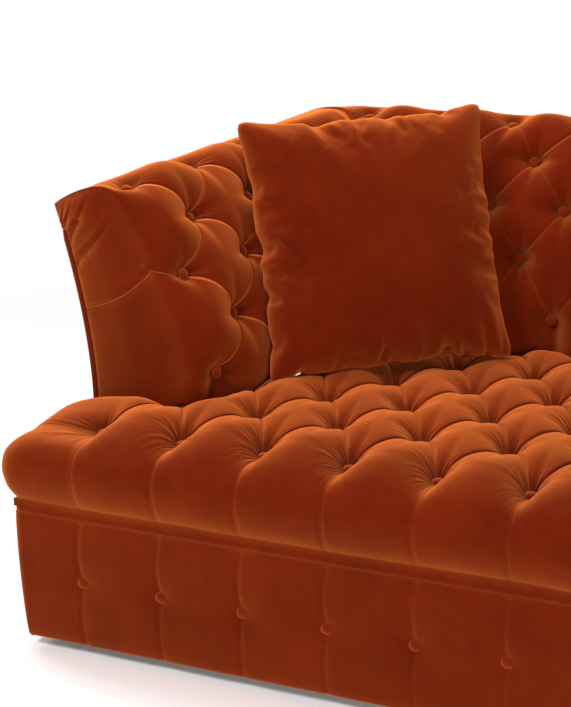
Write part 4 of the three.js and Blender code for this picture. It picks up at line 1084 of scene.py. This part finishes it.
def ballTree(name, shape, finish):
    tree = bpy.data.node_groups.new(name, "GeometryNodeTree")
    for side in ("INPUT", "OUTPUT"):
        tree.interface.new_socket("Geometry", in_out=side, socket_type="NodeSocketGeometry")
    for title, value in shape.items():
        kind = "NodeSocketInt" if isinstance(value, int) else "NodeSocketFloat"
        tree.interface.new_socket(title, in_out="INPUT", socket_type=kind)
    board = Board(tree)
    given = {title: board.node("NodeGroupInput", out=title) for title in ("Geometry", *shape)}
    ball = board.node("GeometryNodeMeshUVSphere", None, {
        "Segments": given["Segments"], "Rings": given["Rings"], "Radius": 1.0})
    size = board.node("ShaderNodeCombineXYZ", None, {
        "X": given["Width"], "Y": given["Depth"], "Z": given["Height"]})
    shaped = board.node("GeometryNodeTransform", None, {"Geometry": ball, "Scale": size})
    facing = board.node("GeometryNodeInputNamedAttribute", {"data_type": "FLOAT_VECTOR"},
                        {"Name": "facing"}, "Attribute")
    turned = board.node("FunctionNodeAlignRotationToVector", {"axis": "Z"}, {"Vector": facing})
    placed = board.node("GeometryNodeInstanceOnPoints", None, {
        "Points": given["Geometry"], "Instance": shaped, "Rotation": turned})
    real = board.node("GeometryNodeRealizeInstances", None, {"Geometry": placed})
    dressed = board.node("GeometryNodeSetMaterial", None, {"Geometry": real, "Material": finish})
    board.node("NodeGroupOutput", None, {"Geometry": dressed})
    return tree


# Runs the tree on a mesh of bare points and keeps the result as a plain mesh
def runTree(name, points, facing, tree, shape, finish):
    data = bpy.data.meshes.new(name)
    data.from_pydata([tuple(p) for p in points], [], [])
    layer = data.attributes.new("facing", "FLOAT_VECTOR", "POINT")
    layer.data.foreach_set("vector", np.asarray(facing, np.float32).ravel())
    piece = addObject(name, data)
    modifier = piece.modifiers.new("make", "NODES")
    modifier.node_group = tree
    for item in tree.interface.items_tree:
        if item.in_out == "INPUT" and item.name in shape:
            modifier[item.identifier] = shape[item.name]
    keepResult(piece)
    piece.data.materials.clear()
    piece.data.materials.append(finish)
    return tidyMesh(piece, 0.000001)


# Buttons, which stand where the surfaces have their beds

button = {
    "shape": {"Segments": 18, "Rings": 12, "Width": 0.0112, "Depth": 0.0112, "Height": 0.00616},
    "out": {"seat": 0.0045, "wall": 0.0052, "base": 0.0022},  # how far the middle stands out
    "seatLift": 0.0005, "seatFacing": (0, 0.02, 1), "baseLift": 0.001, "baseFacing": (0, -1, -0.05),
}


def makeButtons(name, spots, tree, finish, where):
    facing = [Vector(out).normalized() for place, out in spots]
    points = [Vector(place) + out * button["out"][where] for (place, _), out in zip(spots, facing)]
    return runTree(name, points, facing, tree, button["shape"], finish)


def seatButtonSpots():
    spots = []
    for column, row in staggered(6):
        x, y, z = mattressSurface(np.array(column), np.array(float(row)))
        if wallDistance(x, y) > mattress["clearOfWall"]:
            spots.append(((x, y, z + button["seatLift"]), button["seatFacing"]))
    return spots


# Place across and up, and outward direction, of a button on the wall's face
def wallSpot(along, squeeze, row):
    t = (row + 1) / wall["rows"]
    before, point, after = curveThrough(wallKeys(along), np.array([t - 0.01, t, t + 0.01]))
    tangent = (after - before) * (squeeze, 1)
    tangent /= np.linalg.norm(tangent)
    return point[0] * squeeze, point[1] + bed, tangent[1], -tangent[0]


def armButtonSpots():
    spots = []
    for row in range(wall["rows"] - 1):
        for n in range(6):
            distance = wall["firstTuft"] + (n + (row % 2) / 2) * pitch
            w, z, outX, outZ = wallSpot(distance / armLength, 1, row)
            if distance < mitreReach(w) - wall["mitreButton"]:
                x = armTopX + distance * splay + w
                spots.append(((x, armFrontY + distance, z), (outX, -outX * splay, outZ)))
    return spots


# How far back an arm's line runs before it meets the mitre, at a width inside the arm
def mitreReach(w):
    normal = mitrePlane()[1]
    return -mitreDepth(armTopX + w, armFrontY) / Vector((splay, 1, 0)).dot(normal)


def backButtonSpots():
    drift = driftAt(np.arange(5) + 1)
    spots = []
    for column, row in staggered(wall["rows"] - 1):
        w, z, outY, outZ = wallSpot(1, backSqueeze, row)
        x = columnOneX + column * pitch + drift[row]
        if mitreDepth(-abs(x), backY - w) > wall["mitreButton"]:
            spots.append(((x, backY - w, z), (0, -outY, outZ)))
    return spots


def baseButtonSpots():
    z = base["buttonHeight"]
    share = (base["top"] - z) / baseSpan
    front = sofa["seamFrontY"] + base["taper"] * share
    front -= base["swell"] * math.sin(math.pi * share) ** 0.55
    spots = []
    for column in range(sofa["columns"]):
        x = columnOneX + column * pitch + base["buttonShift"]
        y = front + float(frontRelief(np.array(x), np.array(z)))
        spots.append(((x, y - button["baseLift"], z), button["baseFacing"]))
    return spots


# Loose cushion: two squares of velvet sewn round their rims, blown up by the cloth solver

cushion = {
    "half": 0.250, "cells": 76, "flat": 0.266, "frames": 26, "pressure": 4.0,
    "thick": 0.1450, "drawIn": 0.05, "crown": 2.4, "round": 0.50, "rim": 0.0035,
    "cornerRound": 0.022, "taller": 0.014, "leaning": 0.012, "yaw": 38, "lean": 16, "tilt": 2.5,
    # what is kept of the solver's folds: blurs that part them from the form, most height, share in
    # the middle and on the rim, and where on the face the rim's share sets in
    "blurs": 60, "fold": 0.007, "foldMiddle": 0.12, "foldRim": 0.6, "foldFrom": (0.45, 0.4),
    # places on the face (across, up), direction, length, width and depth of a crease
    "creases": [
        (-0.98, 0.50, -20, 0.22, 0.035, 0.008), (-0.98, 0.05, -28, 0.30, 0.045, 0.011),
        (-0.98, -0.10, -5, 0.16, 0.030, 0.007), (-0.98, -0.36, -20, 0.18, 0.040, 0.010),
        (-0.97, -0.74, 8, 0.12, 0.040, 0.008), (-0.36, 0.97, -50, 0.26, 0.035, 0.009),
        (-0.22, 0.97, -75, 0.30, 0.040, 0.006), (0.20, 0.97, -55, 0.22, 0.035, 0.008),
        (0.42, 0.98, -65, 0.20, 0.030, 0.006), (0.68, 0.97, -40, 0.14, 0.035, 0.008),
        (0.42, -0.98, 84, 0.34, 0.055, 0.017), (0.60, -0.98, 100, 0.34, 0.045, 0.012),
        (0.78, -0.97, 97, 0.42, 0.040, 0.010), (0.90, -0.90, 94, 0.36, 0.030, 0.007),
        (0.22, -0.98, 80, 0.26, 0.030, 0.006), (-0.02, -0.98, 78, 0.16, 0.025, 0.005),
        (-0.20, -0.98, 74, 0.14, 0.025, 0.004), (-0.50, -0.98, 60, 0.12, 0.030, 0.004),
        (-0.82, -0.97, 30, 0.14, 0.035, 0.007), (0.96, 0.30, 170, 0.20, 0.040, 0.006),
        (0.95, -0.15, 175, 0.16, 0.040, 0.007),
    ],
    "creaseBend": 0.10, "creaseFade": 1.2, "creaseStart": 0.25, "creaseWidth": (0.6, 0.6),
    "creaseRidge": (2, 1.2),
    # where the rim is pulled in: side, place along it, width, depth
    "pulls": [
        ("left", 0.50, 0.05, 0.006), ("left", 0.03, 0.06, 0.008), ("left", -0.33, 0.05, 0.009),
        ("left", -0.70, 0.05, 0.006), ("top", -0.36, 0.08, 0.009), ("top", 0.20, 0.06, 0.006),
        ("top", 0.66, 0.05, 0.009), ("low", 0.43, 0.08, 0.016), ("low", -0.77, 0.05, 0.012)],
    "pullFrom": (0.80, 0.20),  # where on the face, and over what reach
    "slot": {"reach": 0.2053, "half": 0.0073, "floor": -0.225, "deep": 0.06, "lip": 0.0098,
             "lipEnd": 0.05, "lipFrom": (0.86, 0.10)},
}


def placeOnCushion(piece):
    yaw, lean, tilt = (math.radians(cushion[k]) for k in ("yaw", "lean", "tilt"))
    right = Vector((math.cos(yaw), math.sin(yaw), math.sin(tilt))).normalized()
    normal = Vector((math.sin(yaw), -math.cos(yaw), 0)) * math.cos(lean)
    normal.z = math.sin(lean)
    normal = (normal - right * normal.dot(right)).normalized()
    low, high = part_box("scatter_cushion")
    turn = Matrix((right, normal.cross(right), normal)).transposed().to_4x4()
    piece.data.transform(Matrix.Translation((low + high) / 2) @ turn)
    return piece


def cushionForm(a, b):
    c = cushion
    drawnA = 1 - c["drawIn"] * (1 - b ** 4) * np.abs(a) ** 3
    drawnB = 1 - c["drawIn"] * (1 - a ** 4) * np.abs(b) ** 3
    fall = np.clip((1 - np.abs(a) ** c["crown"]) * (1 - np.abs(b) ** c["crown"]), 0, 1)
    depth = (c["thick"] / 2 - c["rim"]) * fall ** c["round"] + c["rim"]
    return np.stack([a * drawnA * c["half"], b * drawnB * c["half"], depth], -1)


def blurred(values, times):
    for _ in range(times):
        padded = np.pad(values, ((1, 1), (1, 1), (0, 0)), mode="edge")
        around = padded[:-2, 1:-1] + padded[2:, 1:-1] + padded[1:-1, :-2] + padded[1:-1, 2:]
        values = (around + 4 * values) / 8
    return values


# Cells of a grid of corner numbers, turned one way or the other
def quads(grid, turn):
    return np.stack([grid[:-1, :-1], grid[:-1, 1:], grid[1:, 1:], grid[1:, :-1]][::turn], -1)


def makeCushion(finish):
    c, n = cushion, cushion["cells"] + 1
    a, b = np.meshgrid(*[np.linspace(-1, 1, n)] * 2)
    rimmed = (np.abs(a) > 0.999) | (np.abs(b) > 0.999)
    order = np.arange(n * n).reshape(n, n)
    rear = order.copy()
    rear[~rimmed] = n * n + np.arange((~rimmed).sum())
    faces = np.stack([quads(order, 1), quads(rear, -1)], 2).reshape(-1, 4).tolist()
    start = np.stack([a * c["flat"], b * c["flat"], 0.010 * (1 - a ** 2) * (1 - b ** 2)], -1)
    corners = np.concatenate([start.reshape(-1, 3), start[~rimmed] * (1, 1, -1)])
    corners = blowUp(addMesh("scatterCushion", corners, faces, finish))
    front = corners[:n * n].reshape(n, n, 3)
    back = front.copy()
    back[~rimmed] = corners[n * n:]
    kept = c["foldMiddle"] + (1 - c["foldMiddle"]) * ease(
        (np.maximum(np.abs(a), np.abs(b)) - c["foldFrom"][0]) / c["foldFrom"][1])
    kept = kept * np.where(rimmed, c["foldRim"], 1)
    sheets = []
    for sheet, side in ((front, 1), (back, -1)):
        shaped = cushionForm(a, b) * (1, 1, side)
        shaped[rimmed] *= (1, 1, 0)
        folds = sheet - blurred(sheet, c["blurs"])
        amount = np.clip(np.linalg.norm(folds, axis=-1), 1e-6, None)
        shaped += folds * (np.minimum(amount, c["fold"]) / amount * kept)[..., None]
        if side == 1:
            shaped[..., 2] -= faceCreases(a, b)
        sheets.append(shaped + rimPulls(a, b))
    openLip(a, b, sheets, rimmed)
    local = np.concatenate([sheets[0].reshape(-1, 3), sheets[1][~rimmed]])
    roundCorners(local)
    upper = (local[:, 1] + c["half"]) / (2 * c["half"])
    local[:, 1] += c["taller"] * upper
    local[:, 0] -= c["leaning"] * upper
    piece = addMesh("scatterCushion", local, faces, finish)
    modifier = piece.modifiers.new("finer", "SUBSURF")
    modifier.levels = modifier.render_levels = 1
    keepResult(piece)
    cutSlot(piece)
    return tidyMesh(placeOnCushion(piece), 0.00001)


# The square's corners, drawn onto arcs
def roundCorners(local):
    start = cushion["half"] - cushion["cornerRound"]
    past = np.abs(local[:, :2]) - start
    turned = (past > 0).all(axis=1)
    far = np.linalg.norm(past[turned], axis=1)
    scale = past[turned].max(axis=1) / np.maximum(far, 1e-9)
    local[turned, :2] = np.sign(local[turned, :2]) * (start + past[turned] * scale[:, None])


# Blows a flat cover up, and gives its corners
def blowUp(cover):
    modifier = cover.modifiers.new("swell", "CLOTH")
    cloth = modifier.settings
    cloth.quality = 6
    cloth.mass = 0.2
    cloth.tension_stiffness = cloth.compression_stiffness = 12
    cloth.shear_stiffness = 4
    cloth.bending_stiffness = 0.4
    cloth.use_pressure = True
    cloth.uniform_pressure_force = cushion["pressure"]
    cloth.effector_weights.gravity = 0
    modifier.point_cache.frame_start = 1
    modifier.point_cache.frame_end = cushion["frames"]
    for step in range(1, cushion["frames"] + 1):
        scene.frame_set(step)
    keepResult(cover)
    corners = np.zeros(len(cover.data.vertices) * 3)
    cover.data.vertices.foreach_get("co", corners)
    bpy.data.objects.remove(cover)
    scene.frame_set(1)
    return corners.reshape(-1, 3)


def faceCreases(a, b):
    sunk = np.zeros_like(a)
    early, (first, more) = cushion["creaseStart"], cushion["creaseWidth"]
    for x, y, angle, length, width, depth in cushion["creases"]:
        c, s = math.cos(math.radians(angle)), math.sin(math.radians(angle))
        along, cross = (a - x) * c + (b - y) * s, (b - y) * c - (a - x) * s
        cross = cross - cushion["creaseBend"] * along ** 2
        t = along / length
        fade = np.clip(1 - t, 0, 1) ** cushion["creaseFade"] * np.clip((t + early) / early, 0, 1)
        off = cross / (width * (first + more * np.clip(t, 0, 1)))
        sunk += depth * fade * furrow(off, *cushion["creaseRidge"])
    return sunk


def rimPulls(a, b):
    moved = np.zeros(a.shape + (3,))
    start, reach = cushion["pullFrom"]
    sides = {"left": (-a, b, 0, 1), "top": (b, a, 1, -1), "low": (-b, a, 1, 1)}
    for side, place, width, depth in cushion["pulls"]:
        outward, along, axis, way = sides[side]
        near = np.clip((outward - start) / reach, 0, 1) ** 2
        moved[..., axis] += way * depth * np.exp(-((along - place) / width) ** 2) * near
    return moved


# The two faces stand apart along the zip
def openLip(a, b, sheets, rimmed):
    slot, (start, rise) = cushion["slot"], cushion["slot"]["lipFrom"]
    end = slot["reach"] / cushion["half"] + slot["lipEnd"]
    zone = np.clip((end - np.abs(a)) / slot["lipEnd"], 0, 1) * np.clip((-b - start) / rise, 0, 1)
    for sheet, side in zip(sheets, (1, -1)):
        lifted = np.maximum(sheet[..., 2] * side, slot["lip"] * zone) * side
        sheet[..., 2] = np.where(rimmed, sheet[..., 2], lifted)


def cutSlot(piece):
    reach, half, floor, deep = (cushion["slot"][k] for k in ("reach", "half", "floor", "deep"))
    section = ((floor, -half), (floor, half), (floor - deep, half), (floor - deep, -half))
    carve(piece, [[(x, y, z) for y, z in section] for x in (-reach, reach)])


# Zip: a woven tape with a coil along it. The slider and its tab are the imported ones.

zipLook = {
    "length": 0.410, "width": 0.014, "top": -0.2253, "tape": 0.0006, "steps": 120,
    "coil": {"Segments": 6, "Rings": 4, "Width": 0.00055, "Depth": 0.00042, "Height": 0.0021},
    "coilPitch": 0.0016, "coilEnds": 0.006,
}


def makeTape(finish):
    half, width = zipLook["length"] / 2, zipLook["width"] / 2
    top, low = zipLook["top"], zipLook["top"] - zipLook["tape"]
    section = ((top, -width), (top, width), (low, width), (low, -width))
    rings = [[(x, y, z) for y, z in section] for x in np.linspace(-half, half, zipLook["steps"])]
    return placeOnCushion(addLoft("zipTape", rings, finish, weld=0.00001, smooth=False))


def makeCoil(finish):
    count = int((zipLook["length"] - zipLook["coilEnds"]) / zipLook["coilPitch"])
    height = zipLook["top"] - zipLook["tape"] - zipLook["coil"]["Depth"]
    points = [((k - (count - 1) / 2) * zipLook["coilPitch"], height, 0) for k in range(count)]
    tree = ballTree("zipCoil", zipLook["coil"], finish)
    piece = runTree("zipCoil", points, [(0, 0, 1)] * count, tree, zipLook["coil"], finish)
    return placeOnCushion(piece)


# Webbing under the mattress and the dark cloth below the frame

def layFlat(piece, node, slot, **more):
    dress(piece, nodes=[node])


def makeStrap(number, finish):
    low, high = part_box(f"webbing_strap_{number}")
    (a, b), (c, d), cut = (low.x, high.x), (low.z, high.z), 0.0006
    section = ((a, c + cut), (a + cut, c), (b - cut, c), (b, c + cut),
               (b, d - cut), (b - cut, d), (a + cut, d), (a, d - cut))
    rings = [[(x, y, z) for x, z in section] for y in np.linspace(low.y, high.y, 40)]
    piece = addLoft(f"strap{number}", rings, finish, weld=0.00001)
    layFlat(piece, f"webbing_strap_{number}", "webbing")


underCloth = {"inset": 0.046, "step": 0.030, "billow": 0.0012, "wave": 6, "calm": 0.05,
              "thickness": 0.0008, "hole": 0.0284, "holeSides": 24, "clear": 0.008}


def makeDustCover(finish):
    step, hole, clear = (underCloth[k] for k in ("step", "hole", "clear"))
    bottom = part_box("dust_cover")[0].z + underCloth["billow"]
    outline = [Vector((p.x, p.y)) for p in platformCorners(underCloth["inset"])]
    sides = [outline[(k + 1) % 6] - outline[k] for k in range(6)]
    inward = [Vector((-side.y, side.x)).normalized() for side in sides]
    feet = []
    for side in ("left", "centre", "right"):
        for end in ("front", "rear"):
            a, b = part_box(f"{side}_{end}_foot")
            feet.append(Vector(((a.x + b.x) / 2, (a.y + b.y) / 2)))
    rings = [[]]
    for corner, side in zip(outline, sides):
        count = max(int(side.length / step), 1)
        rings[0] += [corner + side * (n / count) for n in range(count)]
    count = underCloth["holeSides"]
    turns = [2 * math.pi * k / count for k in range(count)]
    for foot in feet:
        rings.append([foot + Vector((math.cos(t), math.sin(t))) * hole for t in turns][::-1])
    points, loops = [], []
    for ring in rings:
        loops.append(list(range(len(points), len(points) + len(ring))))
        points += ring
    for x in np.arange(-1.0, 1.0, step):
        for y in np.arange(-0.5, 0.5, step):
            p = Vector((x, y))
            deep = all((p - corner).dot(into) > clear for corner, into in zip(outline, inward))
            if deep and all((p - foot).length > hole + clear for foot in feet):
                points.append(p)
    edges = [(loop[k - 1], loop[k]) for loop in loops for k in range(len(loop))]
    flat, _, faces = geometry.delaunay_2d_cdt(points, edges, loops, 2, 0.00001)[:3]
    low = []
    for p in flat:
        toHole = max(min((p - foot).length for foot in feet) - hole, 0)
        wave = noise.noise((p.x * underCloth["wave"], p.y * underCloth["wave"], 0))
        billow = underCloth["billow"] * wave * min(toHole / underCloth["calm"], 1)
        low.append((p.x, p.y, bottom - abs(billow)))
    high = [(x, y, z + underCloth["thickness"]) for x, y, z in low]
    n = len(flat)
    around = [(f[k - 1], f[k]) for f in faces for k in range(len(f))]
    known = set(around)
    rim = [(b, a, a + n, b + n) for a, b in around if (b, a) not in known]
    below = [tuple(k + n for k in f)[::-1] for f in faces]
    piece = tidyMesh(addMesh("dustCover", high + low, [*faces, *below, *rim], finish), 0.00001)
    area = sum(f.area for f in piece.data.polygons if f.normal.z > 0.5)
    layFlat(piece, "dust_cover", "under_cloth", area=area)


# What the sofa stands on and in

stageLook = {"floor": (0.80, 0.80, 0.79, 1), "size": 16, "clear": (1.3, 2.6), "wide": 0.45,
             "world": 0.10}
white = (1, 1, 1, 1)


# 1 where the camera sees a thing itself, in a mirror or through glass
def seenRays(board):
    camera, glossy, through = (board.node("ShaderNodeLightPath", None, None, f"Is {kind} Ray")
                               for kind in ("Camera", "Glossy", "Transmission"))
    return camera.most(glossy).most(through)


def makeStage():
    material, board = newMaterial("stageFloor")
    x, y = board.parts(board.spot())
    near, end = stageLook["clear"]
    far = ((x * x * stageLook["wide"] + y * y) ** 0.5 - near) / (end - near)
    lit = board.node("ShaderNodeBsdfDiffuse", None, {"Color": stageLook["floor"]})
    shown = board.node("ShaderNodeBsdfDiffuse", None, {"Color": white})
    bright = board.node("ShaderNodeEmission", None, {"Color": white, "Strength": 1.0})
    board.end(board.mixShader(seenRays(board), lit, board.mixShader(far.held(), shown, bright)))
    half = stageLook["size"] / 2
    corners = [(-half, -half, 0), (half, -half, 0), (half, half, 0), (-half, half, 0)]
    addMesh("floor", corners, [(0, 1, 2, 3)], material)
    scene.world = bpy.data.worlds.new("studio")
    scene.world.use_nodes = True
    board = Board(scene.world.node_tree)
    glow = {"Color": white, "Strength": stageLook["world"]}
    light = board.node("ShaderNodeBackground", None, glow)
    backdrop = board.node("ShaderNodeBackground", None, {"Color": white})
    board.end(board.mixShader(seenRays(board), light, backdrop), "ShaderNodeOutputWorld")


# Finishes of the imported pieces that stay
def dressFrame():
    finishes = {"_foot": stained, "rib": plywood, "zip_": metal, "rail": timber, "block": timber}
    for name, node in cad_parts.items():
        for part, finish in finishes.items():
            if part in name:
                node.data.materials.clear()
                node.data.materials.append(finish)
                break


# The sofa, piece by piece

makeCamera()
makeLamps()
tufted = velvetFinish("tuftedVelvet", True)
# The arms' copy of the same velvet shows more of the bright pile from the side: painted sheen,
# brighter than on the seat and back
armVelvetMoreSheen = velvetFinish("tuftedArmVelvetPaintedSheen", True, turned=1.0, turnPower=1.65)
plain = velvetFinish("plainVelvet")
# The cushion's copy of the same velvet shows more of the bright pile towards its rims: painted
# highlight
cushionVelvetRimSheen = velvetFinish("cushionVelvetRimSheen", turned=0.95, turnPower=1.9)
buttonVelvet = velvetFinish("buttonVelvet", deep=rgb(98, 24, 5), worn=rgb(122, 38, 11), turned=0.8)
timber = plainFinish("pineTimber", rgb(186, 142, 92), rgb(214, 176, 124), 9, (1, 14, 14), 0.62)
plywood = plainFinish("birchPly", rgb(188, 152, 104), rgb(218, 188, 142), 30, (0.4, 0.4, 8), 0.66)
stained = plainFinish("stainedFoot", rgb(38, 22, 14), rgb(66, 40, 24), 60, (1, 1, 0.15), 0.38,
                      0.0002, **{"Coat Weight": 0.3})
metal = plainFinish("nickel", rgb(142, 140, 134), rgb(172, 169, 162), 900, roughness=0.34,
                    bump=0.00004, Metallic=1.0)
webbing = plainFinish("juteWeb", rgb(150, 122, 80), rgb(192, 164, 116), 900, (1, 0.4, 1), 0.9)
cambric = plainFinish("underCloth", rgb(22, 21, 21), rgb(40, 38, 37), 1200, roughness=0.9)
tape = plainFinish("zipTape", rgb(96, 30, 14), rgb(128, 46, 22), 1500, roughness=0.85)
coil = plainFinish("zipCoil", rgb(84, 26, 12), rgb(112, 38, 18), 600, roughness=0.5)
print("finishes ready")

dress(makeCushion(cushionVelvetRimSheen), "cushion", ["scatter_cushion"])
dress(makeTape(tape), "cushion", ["zip_tape"])
dress(makeCoil(coil), "cushion")
print("cushion made")

dress(makeMattress(tufted), nodes=["seat_mattress"])
print("mattress made")
leftArm = makeArmPad(armVelvetMoreSheen)
rightArm = mirrorPiece(leftArm, "rightArmPad")
dress(leftArm, nodes=["left_arm_pad"])
dress(rightArm, nodes=["right_arm_pad"])
dress(makeBackPad(tufted), nodes=["back_pad"])
print("arms and back made")
leftPanel = makeOutsideArm(plain)
borders = [f"{side}_border" for side in ("front", "rear", "left", "right")]
for piece, nodes in (
        (leftPanel, ["left_outside_arm"]),
        (mirrorPiece(leftPanel, "rightOutsideArm"), ["right_outside_arm"]),
        (makeOutsideBack(plain), ["outside_back"]),
        (makeBase(plain), borders)):
    dress(piece, nodes=nodes)
dress(makePiping(plain),
      nodes=["front_piping", "rear_piping", "left_piping", "right_piping"])
print("outer panels and base made")

covered = ballTree("coveredButtons", button["shape"], buttonVelvet)
leftSpots = armButtonSpots()
rightSpots = [((-x, y, z), (-outX, outY, outZ)) for (x, y, z), (outX, outY, outZ) in leftSpots]
for name, spots, where, slot in (
        ("seatButtons", seatButtonSpots(), "seat", "tufted_velvet"),
        ("backButtons", backButtonSpots(), "wall", "padded_velvet"),
        ("armButtons", leftSpots + rightSpots, "wall", "padded_velvet"),
        ("baseButtons", baseButtonSpots(), "base", "padded_velvet")):
    dress(makeButtons(name, spots, covered, buttonVelvet, where))
print("buttons made")

for number in range(1, 7):
    makeStrap(number, webbing)
makeDustCover(cambric)
dressFrame()
makeStage()
print("frame dressed")

scene.view_settings.view_transform = "Standard"
